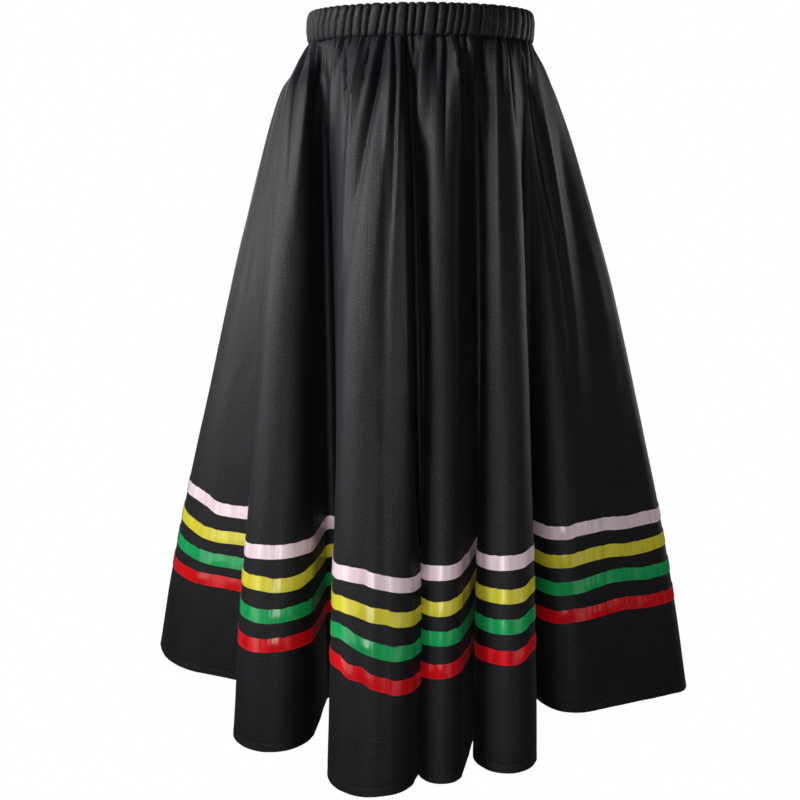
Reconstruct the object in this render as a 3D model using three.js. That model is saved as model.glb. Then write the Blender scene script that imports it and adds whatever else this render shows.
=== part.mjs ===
// A swing dance skirt, hollow and open at the waist and the hem, as it hangs when it is worn.
// Millimetres. +X is the right of the front view, -Y is the front, +Z is up.
// The origin is the middle of the waistband, half way up it.
import * as THREE from 'three';

// The waist is an oval, and the hem is level.
const WAIST_HALF_WIDTH = 131;
const WAIST_HALF_DEPTH = 101;
const HEM_HEIGHT = -794;

// The gathered band that holds the elastic.
const BAND_HEIGHT = 36;
const BAND_WALL = 3.2;
const BAND_GATHER_DEPTH = 1.6;

// The band's section, going down its outside and up its inside. up is a share of half its height,
// out is how far it stands from the waist's oval and ripple is how much the gathers show.
const BAND_SECTION = [
  { up: 1, out: -1.6, ripple: 0.6 },
  { up: 0.72, out: 0.8, ripple: 1 },
  { up: 0, out: 1.4, ripple: 1 },
  { up: -0.72, out: 1.0, ripple: 1 },
  { up: -1, out: 0, ripple: 0.9 },
  { up: -1, out: -BAND_WALL, ripple: 0 },
  { up: 0, out: -BAND_WALL, ripple: 0 },
  { up: 1, out: -BAND_WALL - 1.6, ripple: 0 },
];

// The skirt is two equal panels, with a side seam between them on the left and on the right.
const PANEL_WALL = 1.2;
const SEAM_GAP = 0.3;
const TOP_EDGE = -BAND_HEIGHT / 2 - SEAM_GAP;

// Four ribbons run round the skirt, one above the other, and these are measured up from the hem.
const RIBBON_WIDTH = 16;
const RIBBON_PITCH = 35;
const RIBBON_WALL = 1.0;
const RIBBON_STANDOFF = 0.4;
const HEM_MARGIN = 110;
const RIBBONS = [
  { name: 'ribbon_red', colour: 0xd3141c },
  { name: 'ribbon_green', colour: 0x12a45c },
  { name: 'ribbon_yellow', colour: 0xd9cc3c },
  { name: 'ribbon_pink', colour: 0xe6ccd4 },
];

// The gathers at the waist. They drift from an even spacing in waves, in degrees, and their
// strength changes from each gather to the next.
const GATHERS = 54;
const COLUMNS_PER_GATHER = 4;
const GATHER_DEPTH = 2.3;
const GATHER_REACH = 0.08;
const GATHER_DRIFT = [
  { waves: 5, shift: 20, size: 1.3 },
  { waves: 13, shift: 75, size: 0.9 },
];
const GATHER_UNEVEN = 0.35;
const GATHER_CHANGE = 2.4;

// How finely the folds are cut: the most a bend may be flattened or turned between two points,
// and the longest straight.
const BEND_FLATTENING = 1.6;
const BEND_TURN = 40;
const STRAIGHT_STEP = 95;

// The hem seen from above is a belt round these discs, taken anticlockwise from the left.
// A flute (turn 1) bulges out round its disc and a valley (turn -1) goes in round its own.
// waist is where the middle of the fold meets the band, in degrees from the front.
// sag is how much further from the hem the ribbons lie there.
const FOLDS = [
  { turn: 1, x: -242, y: 40, radius: 112, waist: -125, sag: 9 },
  { turn: -1, x: -206, y: -107, radius: 12, waist: -90, sag: 0 },
  { turn: 1, x: -170, y: -200, radius: 48, waist: -77, sag: 0 },
  { turn: -1, x: -104, y: -134, radius: 10, waist: -57, sag: 0 },
  { turn: 1, x: -56, y: -285, radius: 47, waist: -21, sag: 0 },
  { turn: -1, x: 3, y: -222, radius: 5, waist: -6, sag: -3 },
  { turn: 1, x: 20, y: -284, radius: 24.5, waist: 10, sag: 0 },
  { turn: -1, x: 70, y: -205, radius: 6, waist: 25, sag: 0 },
  { turn: 1, x: 93, y: -253, radius: 36, waist: 43, sag: 0 },
  { turn: -1, x: 128, y: -128, radius: 12, waist: 63, sag: 0 },
  { turn: 1, x: 188, y: -121, radius: 43, waist: 79, sag: 2 },
  { turn: 1, x: 312, y: -92, radius: 26, waist: 104, sag: 13 },
  { turn: -1, x: 250, y: -4, radius: 15, waist: 117, sag: 8 },
  { turn: 1, x: 286, y: 66, radius: 42, waist: 126, sag: 4 },
  { turn: -1, x: 222, y: 122, radius: 13, waist: 135, sag: 2 },
  { turn: 1, x: 196, y: 208, radius: 48, waist: 144, sag: 0 },
  { turn: -1, x: 142, y: 164, radius: 10, waist: 153, sag: 0 },
  { turn: 1, x: 92, y: 254, radius: 34, waist: 161, sag: 0 },
  { turn: -1, x: 50, y: 196, radius: 11, waist: 169, sag: 0 },
  { turn: 1, x: -8, y: 280, radius: 44, waist: 179, sag: 0 },
  { turn: -1, x: -50, y: 192, radius: 9, waist: 188, sag: 0 },
  { turn: 1, x: -98, y: 252, radius: 36, waist: 196, sag: 0 },
  { turn: -1, x: -128, y: 176, radius: 12, waist: 204, sag: 2 },
  { turn: 1, x: -188, y: 226, radius: 44, waist: 213, sag: 4 },
  { turn: -1, x: -258, y: 178, radius: 14, waist: 223, sag: 6 },
];

// How far the cloth has moved out from the waist to the hem, by how far down it is.
const FLARE = [
  { down: 0.0, left: 0.0, front: 0.0, right: 0.0 },
  { down: 0.03, left: 0.12, front: 0.085, right: 0.085 },
  { down: 0.06, left: 0.232, front: 0.155, right: 0.145 },
  { down: 0.1, left: 0.3, front: 0.22, right: 0.205 },
  { down: 0.14, left: 0.348, front: 0.275, right: 0.258 },
  { down: 0.22, left: 0.424, front: 0.36, right: 0.35 },
  { down: 0.36, left: 0.544, front: 0.5, right: 0.498 },
  { down: 0.52, left: 0.66, front: 0.642, right: 0.642 },
  { down: 0.71, left: 0.808, front: 0.802, right: 0.802 },
  { down: 0.86, left: 0.917, front: 0.91, right: 0.912 },
  { down: 1.0, left: 1.0, front: 1.0, right: 1.0 },
];

// The longer gathers under the band: degrees from the front, millimetres out, width in degrees and
// reach as a share of the way down. They are weaker at the band and full a little below it.
const RIDGE_ONSET = 0.35;
const RIDGE_RISE = 0.04;
const RIDGES = [
  { at: -112, out: 3.0, width: 5, reach: 0.2 },
  { at: -84, out: 3.5, width: 5, reach: 0.18 },
  { at: -60, out: -2.0, width: 4, reach: 0.14 },
  { at: -50, out: 2.5, width: 4, reach: 0.16 },
  { at: -38, out: 4.0, width: 4, reach: 0.22 },
  { at: -27, out: 2.5, width: 3.5, reach: 0.14 },
  { at: -14, out: 4.0, width: 4, reach: 0.22 },
  { at: -5, out: -4.0, width: 3.5, reach: 0.2 },
  { at: 1, out: 3.0, width: 3.5, reach: 0.2 },
  { at: 17, out: 3.5, width: 4, reach: 0.18 },
  { at: 28, out: -4.0, width: 4, reach: 0.2 },
  { at: 43, out: 4.5, width: 4, reach: 0.22 },
  { at: 53, out: -3.0, width: 3.5, reach: 0.16 },
  { at: 63, out: 3.5, width: 4, reach: 0.2 },
  { at: 78, out: 2.5, width: 4, reach: 0.16 },
  { at: 96, out: 3.0, width: 5, reach: 0.2 },
  { at: 122, out: 3.5, width: 4, reach: 0.2 },
  { at: 141, out: 3.5, width: 4, reach: 0.18 },
  { at: 158, out: 3.0, width: 4, reach: 0.2 },
  { at: 174, out: 4.0, width: 4, reach: 0.22 },
  { at: 193, out: 3.0, width: 4, reach: 0.18 },
  { at: 209, out: 3.5, width: 4, reach: 0.2 },
  { at: 226, out: 3.0, width: 5, reach: 0.18 },
];

// Rows of the panels, as a share of the way down from the band to the hem. All four ribbons lie
// between two of the rows.
const RIBBON_ZONE_TOP = 0.69;
const RIBBON_ZONE_BOTTOM = 0.875;
const GATHERED_ROWS = [0, 0.03, 0.07, 0.14];
const FLUTED_ROWS = [0.22, 0.36, 0.52, RIBBON_ZONE_TOP, RIBBON_ZONE_BOTTOM, 1];
const SQUARE_WALL_FROM = 0.07;

// The steps that a slope is measured over, along the hem and down the cloth.
const STEP_ALONG = 0.8;
const STEP_DOWN = 0.004;

const CLOTH = { colour: 0x17171a, roughness: 0.6 };
const SATIN_ROUGHNESS = 0.35;

const radians = (degrees) => degrees * Math.PI / 180;
const mix = (from, to, share) => from + (to - from) * share;
const wrapped = (value, lap) => ((value % lap) + lap) % lap;

// A smooth curve through the points that never overshoots them.
function smoothCurve(xs, ys) {
  const steps = xs.slice(1).map((x, i) => x - xs[i]);
  const slopes = steps.map((step, i) => (ys[i + 1] - ys[i]) / step);
  const tangents = xs.map((x, i) => {
    if (i === 0) return slopes[0];
    if (i === xs.length - 1) return slopes[slopes.length - 1];
    if (slopes[i - 1] * slopes[i] <= 0) return 0;
    const before = 2 * steps[i] + steps[i - 1];
    const after = steps[i] + 2 * steps[i - 1];
    return (before + after) / (before / slopes[i - 1] + after / slopes[i]);
  });
  return (x) => {
    let i = 0;
    while (i < steps.length - 1 && x > xs[i + 1]) i += 1;
    const t = (x - xs[i]) / steps[i];
    const rise = t * t * (3 - 2 * t);
    const leave = t * (1 - t) * (1 - t) * tangents[i] * steps[i];
    const arrive = t * t * (t - 1) * tangents[i + 1] * steps[i];
    return mix(ys[i], ys[i + 1], rise) + leave + arrive;
  };
}

// The belt: each fold's arc and the straight that follows it, with where each starts along the hem.
function hemBelt() {
  const straights = FOLDS.map((fold, i) => {
    const next = FOLDS[(i + 1) % FOLDS.length];
    const across = Math.hypot(next.x - fold.x, next.y - fold.y);
    const lean = Math.asin((next.turn * next.radius - fold.turn * fold.radius) / across);
    const heading = Math.atan2(next.y - fold.y, next.x - fold.x) - lean;
    const leave = new THREE.Vector2(Math.sin(heading), -Math.cos(heading))
      .multiplyScalar(fold.turn * fold.radius)
      .add(new THREE.Vector2(fold.x, fold.y));
    const arrive = new THREE.Vector2(Math.sin(heading), -Math.cos(heading))
      .multiplyScalar(next.turn * next.radius)
      .add(new THREE.Vector2(next.x, next.y));
    return { heading, leave, arrive };
  });
  let length = 0;
  const spans = FOLDS.map((fold, i) => {
    const incoming = straights[(i + FOLDS.length - 1) % FOLDS.length];
    const outgoing = straights[i];
    const sweep = wrapped((outgoing.heading - incoming.heading) * fold.turn, 2 * Math.PI);
    const first = incoming.heading - fold.turn * Math.PI / 2;
    const start = length;
    const bend = sweep * fold.radius;
    const straight = outgoing.leave.distanceTo(outgoing.arrive);
    length += bend + straight;
    return { fold, first, sweep, start, bend, straight, outgoing };
  });
  return { spans, length };
}

const BELT = hemBelt();

// Values at the middles of the folds, carried smoothly all round the hem.
function roundTheHem(value, wrap) {
  const middles = BELT.spans.map((span) => span.start + span.bend / 2);
  const xs = [];
  const ys = [];
  [-1, 0, 1].forEach((lap) => {
    middles.forEach((middle, i) => {
      xs.push(middle + lap * BELT.length);
      ys.push(value(FOLDS[i]) + lap * wrap);
    });
  });
  return smoothCurve(xs, ys);
}

const waistAngleAt = roundTheHem((fold) => fold.waist, 360);
const sagAt = roundTheHem((fold) => fold.sag, 0);

const flareCurves = {
  left: smoothCurve(FLARE.map((row) => row.down), FLARE.map((row) => row.left)),
  front: smoothCurve(FLARE.map((row) => row.down), FLARE.map((row) => row.front)),
  right: smoothCurve(FLARE.map((row) => row.down), FLARE.map((row) => row.right)),
};

function flareAt(down, waistAngle) {
  const side = Math.sin(radians(waistAngle));
  const left = Math.max(0, -side) ** 2;
  const right = Math.max(0, side) ** 2;
  const middle = 1 - left - right;
  const sides = flareCurves.left(down) * left + flareCurves.right(down) * right;
  return sides + flareCurves.front(down) * middle;
}

// The point of the hem at a distance along it, seen from above.
function hemPoint(along) {
  const place = wrapped(along, BELT.length);
  const span = BELT.spans.findLast((candidate) => candidate.start <= place);
  const into = place - span.start;
  if (into <= span.bend) {
    const angle = span.first + span.fold.turn * into / span.fold.radius;
    return new THREE.Vector2(
      span.fold.x + span.fold.radius * Math.cos(angle),
      span.fold.y + span.fold.radius * Math.sin(angle),
    );
  }
  return span.outgoing.leave.clone().lerp(span.outgoing.arrive, (into - span.bend) / span.straight);
}

// The distance along the hem whose cloth hangs from a waist angle.
function hemPlaceUnder(waistAngle) {
  const firstAngle = waistAngleAt(0);
  const laps = Math.floor((waistAngle - firstAngle) / 360);
  const wanted = waistAngle - laps * 360;
  let low = 0;
  let high = BELT.length;
  while (high - low > 0.001) {
    const middle = (low + high) / 2;
    if (waistAngleAt(middle) < wanted) low = middle;
    else high = middle;
  }
  return (low + high) / 2 + laps * BELT.length;
}

// The gathers are uneven in width and depth, and each has a crest and a trough.
function gatherAngle(column) {
  const even = column * 360 / (GATHERS * COLUMNS_PER_GATHER);
  const drift = GATHER_DRIFT.reduce(
    (total, wave) => total + wave.size * Math.sin(radians(wave.waves * even + wave.shift)),
    0,
  );
  return even - 180 + drift;
}

const gatherColumns = Array.from(
  { length: GATHERS * COLUMNS_PER_GATHER },
  (_, column) => gatherAngle(column),
);
const gatherPhase = smoothCurve(
  [gatherColumns.at(-1) - 360, ...gatherColumns, gatherColumns[0] + 360],
  [-1, ...gatherColumns.map((_, column) => column), gatherColumns.length],
);

function gatherRipple(waistAngle) {
  const low = gatherColumns[0];
  const phase = gatherPhase(wrapped(waistAngle - low, 360) + low) / COLUMNS_PER_GATHER;
  const strength = 1 + GATHER_UNEVEN * Math.sin(GATHER_CHANGE * Math.round(phase));
  return strength * Math.cos(2 * Math.PI * phase);
}

function ridgeAt(down, waistAngle) {
  return RIDGES.reduce((total, ridge) => {
    if (down >= ridge.reach) return total;
    const apart = wrapped(waistAngle - ridge.at + 180, 360) - 180;
    const rise = Math.exp(-((apart / ridge.width) ** 2));
    const fade = Math.cos(Math.PI / 2 * down / ridge.reach) ** 2;
    const start = Math.min(1, RIDGE_ONSET + down / RIDGE_RISE);
    return total + ridge.out * rise * fade * start;
  }, 0);
}

function waistNormal(waistAngle) {
  const angle = radians(waistAngle);
  const across = Math.sin(angle) / WAIST_HALF_WIDTH;
  const forward = -Math.cos(angle) / WAIST_HALF_DEPTH;
  return new THREE.Vector2(across, forward).normalize();
}

function waistPoint(waistAngle) {
  const angle = radians(waistAngle);
  return new THREE.Vector2(WAIST_HALF_WIDTH * Math.sin(angle), -WAIST_HALF_DEPTH * Math.cos(angle));
}

// The outside of the cloth, by distance along the hem and share of the way down.
function clothPoint(along, down) {
  const place = wrapped(along, BELT.length);
  const waistAngle = waistAngleAt(place);
  const plan = waistPoint(waistAngle).lerp(hemPoint(place), flareAt(down, waistAngle));
  const fade = Math.max(0, 1 - down / GATHER_REACH) ** 2;
  const out = GATHER_DEPTH * fade * gatherRipple(waistAngle) + ridgeAt(down, waistAngle);
  plan.addScaledVector(waistNormal(waistAngle), out);
  return new THREE.Vector3(plan.x, plan.y, mix(TOP_EDGE, HEM_HEIGHT, down));
}

function clothNormal(along, down) {
  const ahead = clothPoint(along + STEP_ALONG, down).sub(clothPoint(along - STEP_ALONG, down));
  const above = clothPoint(along, Math.max(0, down - STEP_DOWN));
  const below = clothPoint(along, Math.min(1, down + STEP_DOWN));
  return ahead.cross(above.sub(below)).normalize();
}

// The inside of the cloth. Among the gathers the wall is measured square to the waist, because
// the gathers there are too tight to be measured across.
function linedPoint(along, down) {
  const square = clothNormal(along, down).setZ(0).normalize();
  const towardsWaist = waistNormal(waistAngleAt(along));
  const share = Math.min(1, down / SQUARE_WALL_FROM);
  const out = new THREE.Vector3(towardsWaist.x, towardsWaist.y, 0).lerp(square, share).normalize();
  return clothPoint(along, down).addScaledVector(out, -PANEL_WALL);
}

// The places along the hem where the fluted rows have their points.
function flutedPlaces() {
  const places = [];
  BELT.spans.forEach((span) => {
    const step = Math.min(radians(BEND_TURN), 2 * Math.acos(1 - BEND_FLATTENING / span.fold.radius));
    const bends = Math.max(2, Math.round(span.sweep / step));
    for (let i = 0; i <= bends; i += 1) places.push(span.start + span.bend * i / bends);
    const straights = Math.max(1, Math.round(span.straight / STRAIGHT_STEP));
    for (let i = 1; i < straights; i += 1) {
      places.push(span.start + span.bend + span.straight * i / straights);
    }
  });
  return places;
}

function gatheredPlaces() {
  return gatherColumns.map((angle) => wrapped(hemPlaceUnder(angle), BELT.length));
}

// Only the places between two seams, with the seams themselves at the ends.
function between(places, from, to) {
  const room = (to - from) / places.length / 2;
  const inside = places.filter((place) => place > from + room && place < to - room).sort((a, b) => a - b);
  return [from, ...inside, to];
}

// A closed body from faces given as corner lists.
class Body {
  constructor() {
    this.points = [];
    this.faces = [];
  }

  point(vector) {
    this.points.push(vector);
    return this.points.length - 1;
  }

  triangle(a, b, c) {
    this.faces.push([a, b, c]);
  }

  // The strip between two rows of points, each with its place along the hem.
  strip(upper, lower) {
    let i = 0;
    let j = 0;
    while (i < upper.length - 1 || j < lower.length - 1) {
      const upperNext = i < upper.length - 1 ? upper[i + 1] : null;
      const lowerNext = j < lower.length - 1 ? lower[j + 1] : null;
      const takeUpper = this.prefersUpper(upper[i], lower[j], upperNext, lowerNext);
      if (takeUpper) {
        this.triangle(upper[i].index, lower[j].index, upperNext.index);
        i += 1;
      } else {
        this.triangle(upper[i].index, lower[j].index, lowerNext.index);
        j += 1;
      }
    }
  }

  prefersUpper(upper, lower, upperNext, lowerNext) {
    if (!upperNext) return false;
    if (!lowerNext) return true;
    const upperStep = Math.abs(upperNext.place - lower.place);
    const lowerStep = Math.abs(lowerNext.place - upper.place);
    return upperStep < lowerStep;
  }

  // Both faces of a wall between two rows. Each four-cornered patch is split along the diagonal
  // that lies further in, so that nothing laid on the cloth is touched by the split.
  wall(above, below) {
    for (let i = 0; i < above.outer.length - 1; i += 1) {
      const [outerAbove, outerAboveNext] = [above.outer[i].index, above.outer[i + 1].index];
      const [outerBelow, outerBelowNext] = [below.outer[i].index, below.outer[i + 1].index];
      const [innerAbove, innerAboveNext] = [above.inner[i].index, above.inner[i + 1].index];
      const [innerBelow, innerBelowNext] = [below.inner[i].index, below.inner[i + 1].index];
      if (this.fallingDiagonalIsInside(outerAbove, outerAboveNext, outerBelow, outerBelowNext)) {
        this.triangle(outerAbove, outerBelow, outerBelowNext);
        this.triangle(outerAbove, outerBelowNext, outerAboveNext);
        this.triangle(innerAbove, innerBelowNext, innerBelow);
        this.triangle(innerAbove, innerAboveNext, innerBelowNext);
      } else {
        this.triangle(outerAbove, outerBelow, outerAboveNext);
        this.triangle(outerBelow, outerBelowNext, outerAboveNext);
        this.triangle(innerAbove, innerAboveNext, innerBelow);
        this.triangle(innerBelow, innerAboveNext, innerBelowNext);
      }
    }
  }

  fallingDiagonalIsInside(above, aboveNext, below, belowNext) {
    const [a, b, c, d] = [above, aboveNext, below, belowNext].map((index) => this.points[index]);
    const outward = new THREE.Vector3().crossVectors(b.clone().sub(a), a.clone().sub(c));
    const falling = a.clone().add(d);
    const rising = b.clone().add(c);
    return falling.sub(rising).dot(outward) < 0;
  }

  mesh(name, colour, roughness) {
    const geometry = new THREE.BufferGeometry();
    const flat = this.points.flatMap((point) => [point.x, point.y, point.z]);
    geometry.setAttribute('position', new THREE.Float32BufferAttribute(flat, 3));
    const inward = this.volume() < 0;
    geometry.setIndex(this.faces.flatMap(([a, b, c]) => (inward ? [a, c, b] : [a, b, c])));
    geometry.computeVertexNormals();
    const material = new THREE.MeshStandardMaterial({ color: colour, roughness, metalness: 0 });
    const mesh = new THREE.Mesh(geometry, material);
    mesh.name = name;
    return mesh;
  }

  volume() {
    return this.faces.reduce((total, [a, b, c]) => {
      const cross = new THREE.Vector3().crossVectors(this.points[b], this.points[c]);
      return total + this.points[a].dot(cross) / 6;
    }, 0);
  }
}

// One panel, from one side seam to the other, with its own thickness.
function panel(name, from, to) {
  const body = new Body();
  const start = from + SEAM_GAP / 2;
  const end = to - SEAM_GAP / 2;
  const gathered = between(gatheredPlaces(), start, end);
  const fluted = between(flutedPlaces(), start, end);
  const rows = [
    ...GATHERED_ROWS.map((down) => ({ down, places: gathered })),
    ...FLUTED_ROWS.map((down) => ({ down, places: fluted })),
  ].map(({ down, places }) => ({
    outer: places.map((place) => ({ place, index: body.point(clothPoint(place, down)) })),
    inner: places.map((place) => ({ place, index: body.point(linedPoint(place, down)) })),
  }));
  rows.slice(1).forEach((row, i) => {
    const above = rows[i];
    if (above.outer.length === row.outer.length) {
      body.wall(above, row);
    } else {
      body.strip(above.outer, row.outer);
      body.strip(row.inner, above.inner);
    }
  });
  body.strip(rows[0].inner, rows[0].outer);
  body.strip(rows.at(-1).outer, rows.at(-1).inner);
  rows.slice(1).forEach((row, i) => {
    const above = rows[i];
    body.triangle(above.outer[0].index, above.inner[0].index, row.inner[0].index);
    body.triangle(above.outer[0].index, row.inner[0].index, row.outer[0].index);
    body.triangle(above.outer.at(-1).index, row.inner.at(-1).index, above.inner.at(-1).index);
    body.triangle(above.outer.at(-1).index, row.outer.at(-1).index, row.inner.at(-1).index);
  });
  return body.mesh(name, CLOTH.colour, CLOTH.roughness);
}

// A ribbon lies on the straight runs of cloth between two of the panels' rows.
function ribbon({ name, colour }, number) {
  const body = new Body();
  const lowEdge = HEM_MARGIN + number * RIBBON_PITCH;
  const half = BELT.length / 2;
  const frontPlaces = between(flutedPlaces(), 0, half);
  const backPlaces = between(flutedPlaces(), half, BELT.length);
  const places = [...frontPlaces.slice(0, -1), ...backPlaces];
  const corners = places.map((place) => {
    const zoneTop = clothPoint(place, RIBBON_ZONE_TOP);
    const zoneBottom = clothPoint(place, RIBBON_ZONE_BOTTOM);
    const normal = clothNormal(place, (RIBBON_ZONE_TOP + RIBBON_ZONE_BOTTOM) / 2).setZ(0).normalize();
    const run = zoneTop.distanceTo(zoneBottom);
    const margin = zoneBottom.distanceTo(clothPoint(place, 1));
    const edges = [lowEdge + RIBBON_WIDTH, lowEdge].map((edge) => {
      const share = (edge + sagAt(place) - margin) / run;
      return zoneBottom.clone().lerp(zoneTop, share);
    });
    const [top, bottom] = edges.map((edge) => edge.addScaledVector(normal, RIBBON_STANDOFF));
    const outerTop = top.clone().addScaledVector(normal, RIBBON_WALL);
    const outerBottom = bottom.clone().addScaledVector(normal, RIBBON_WALL);
    return [outerTop, outerBottom, bottom, top];
  });
  const last = corners.length - 1;
  const loops = [0, 1, 2, 3].map((corner) => {
    const loop = corners.slice(0, last).map((column, i) => {
      return { place: places[i], index: body.point(column[corner]) };
    });
    return [...loop, { place: places[last], index: loop[0].index }];
  });
  loops.forEach((loop, corner) => body.strip(loop, loops[(corner + 1) % loops.length]));
  return body.mesh(name, colour, SATIN_ROUGHNESS);
}

// The band: an uneven gathered ring, full in the middle of its height, with a smooth inside.
function waistband() {
  const body = new Body();
  const loops = BAND_SECTION.map(({ up, out, ripple }) => {
    const loop = gatherColumns.map((angle, column) => {
      const wave = BAND_GATHER_DEPTH * ripple * gatherRipple(angle);
      const plan = waistPoint(angle).addScaledVector(waistNormal(angle), out + wave);
      const corner = new THREE.Vector3(plan.x, plan.y, up * BAND_HEIGHT / 2);
      return { place: column, index: body.point(corner) };
    });
    return [...loop, { place: loop.length, index: loop[0].index }];
  });
  loops.forEach((loop, i) => body.strip(loop, loops[(i + 1) % loops.length]));
  return body.mesh('waistband', CLOTH.colour, CLOTH.roughness);
}

const skirt = new THREE.Group();
skirt.name = 'swing_dance_skirt';
skirt.add(waistband());
skirt.add(panel('front_panel', 0, BELT.length / 2));
skirt.add(panel('back_panel', BELT.length / 2, BELT.length));
RIBBONS.forEach((row, number) => skirt.add(ribbon(row, number)));

export default skirt;
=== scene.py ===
"""A swing dance skirt in black sateen, with a gathered elastic band and four satin ribbons."""

import logging
import math
from dataclasses import dataclass, field
from enum import Enum
from typing import Callable, NamedTuple

import bpy
import numpy as np
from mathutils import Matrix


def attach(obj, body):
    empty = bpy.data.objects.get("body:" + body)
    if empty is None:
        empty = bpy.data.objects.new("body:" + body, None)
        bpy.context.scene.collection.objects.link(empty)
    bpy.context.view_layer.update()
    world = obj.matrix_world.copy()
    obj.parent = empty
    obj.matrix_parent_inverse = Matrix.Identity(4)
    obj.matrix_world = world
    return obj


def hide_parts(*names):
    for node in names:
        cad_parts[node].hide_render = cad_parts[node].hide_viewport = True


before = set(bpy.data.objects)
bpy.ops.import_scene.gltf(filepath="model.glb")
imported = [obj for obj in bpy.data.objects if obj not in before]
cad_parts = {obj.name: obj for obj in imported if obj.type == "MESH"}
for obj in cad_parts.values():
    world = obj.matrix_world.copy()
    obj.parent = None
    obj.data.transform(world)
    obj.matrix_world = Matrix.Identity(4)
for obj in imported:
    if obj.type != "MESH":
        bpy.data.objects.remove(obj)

log = logging.getLogger("skirt")

MM = 0.001
FULL_TURN = 360.0
SHARP_FROM = math.radians(66)
GRADE_SAMPLES = 24001
# How far stitches lie off what they hold, and how far above the hem its own are, in mm.
STITCH_OFF = 0.12
HEM_STITCH_HEIGHT = 8.6
Array = np.ndarray


class Fold(NamedTuple):
    """One fold of the hem: a flute (turn 1) or a valley (turn -1) round its disc, in mm.

    waist is where it meets the band, in degrees from the front, and sag is how much further from
    the hem the ribbons lie there.
    """

    turn: int
    x: float
    y: float
    radius: float
    waist: float
    sag: float


FOLDS: tuple[Fold, ...] = tuple(Fold(*row) for row in (
    (1, -242, 40, 112, -125, 9), (-1, -206, -107, 12, -90, 0), (1, -170, -200, 48, -77, 0),
    (-1, -104, -134, 10, -57, 0), (1, -56, -285, 47, -21, 0), (-1, 3, -222, 5, -6, -3),
    (1, 20, -284, 24.5, 10, 0), (-1, 70, -205, 6, 25, 0), (1, 93, -253, 36, 43, 0),
    (-1, 128, -128, 12, 63, 0), (1, 188, -121, 43, 79, 2), (1, 312, -92, 26, 104, 13),
    (-1, 250, -4, 15, 117, 8), (1, 286, 66, 42, 126, 4), (-1, 222, 122, 13, 135, 2),
    (1, 196, 208, 48, 144, 0), (-1, 142, 164, 10, 153, 0), (1, 92, 254, 34, 161, 0),
    (-1, 50, 196, 11, 169, 0), (1, -8, 280, 44, 179, 0), (-1, -50, 192, 9, 188, 0),
    (1, -98, 252, 36, 196, 0), (-1, -128, 176, 12, 204, 2), (1, -188, 226, 44, 213, 4),
    (-1, -258, 178, 14, 223, 6),
))


class Flare(NamedTuple):
    """How far the cloth has moved out from the waist to the hem, at a share of the way down."""

    down: float
    left: float
    front: float
    right: float


FLARE: tuple[Flare, ...] = tuple(Flare(*row) for row in (
    (0, 0, 0, 0), (0.03, 0.12, 0.085, 0.085), (0.06, 0.232, 0.155, 0.145), (0.1, 0.3, 0.22, 0.205),
    (0.14, 0.348, 0.275, 0.258), (0.22, 0.424, 0.36, 0.35), (0.36, 0.544, 0.5, 0.498),
    (0.52, 0.66, 0.642, 0.642), (0.71, 0.808, 0.802, 0.802), (0.86, 0.917, 0.91, 0.912), (1, 1, 1, 1),
))


class Ridge(NamedTuple):
    """A longer gather under the band: degrees from the front, mm out, degrees wide, share down."""

    at: float
    out: float
    width: float
    reach: float


RIDGES: tuple[Ridge, ...] = tuple(Ridge(*row) for row in (
    (-112, 3, 5, 0.2), (-84, 3.5, 5, 0.18), (-60, -2, 4, 0.14), (-50, 2.5, 4, 0.16), (-38, 4, 4, 0.22),
    (-27, 2.5, 3.5, 0.14), (-14, 4, 4, 0.22), (-5, -4, 3.5, 0.2), (1, 3, 3.5, 0.2), (17, 3.5, 4, 0.18),
    (28, -4, 4, 0.2), (43, 4.5, 4, 0.22), (53, -3, 3.5, 0.16), (63, 3.5, 4, 0.2), (78, 2.5, 4, 0.16),
    (96, 3, 5, 0.2), (122, 3.5, 4, 0.2), (141, 3.5, 4, 0.18), (158, 3, 4, 0.2), (174, 4, 4, 0.22),
    (193, 3, 4, 0.18), (209, 3.5, 4, 0.2), (226, 3, 5, 0.18),
))


class SmoothCurve:
    """A smooth curve through points that never overshoots them."""

    def __init__(self, xs: list[float], ys: list[float]) -> None:
        """Works out the slope of the curve at each point.

        Args:
            xs: Rising places of the points.
            ys: Values there.
        """
        self.xs = np.array(xs, float)
        self.ys = np.array(ys, float)
        self.steps = np.diff(self.xs)
        slopes = np.diff(self.ys) / self.steps
        before = 2 * self.steps[1:] + self.steps[:-1]
        after = self.steps[1:] + 2 * self.steps[:-1]
        same = slopes[:-1] * slopes[1:] > 0
        left = np.where(same, slopes[:-1], 1.0)
        right = np.where(same, slopes[1:], 1.0)
        middle = np.where(same, (before + after) / (before / left + after / right), 0.0)
        self.tangents = np.concatenate([slopes[:1], middle, slopes[-1:]])

    def __call__(self, x: Array | float) -> Array:
        """The curve's value.

        Args:
            x: Places to read it at.

        Returns:
            The values there.
        """
        place = np.asarray(x, float)
        i = np.clip(np.searchsorted(self.xs, place, "left") - 1, 0, len(self.steps) - 1)
        step = self.steps[i]
        t = (place - self.xs[i]) / step
        rise = t * t * (3 - 2 * t)
        leave = t * (1 - t) ** 2 * self.tangents[i] * step
        arrive = t * t * (t - 1) * self.tangents[i + 1] * step
        return self.ys[i] * (1 - rise) + self.ys[i + 1] * rise + leave + arrive


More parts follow.
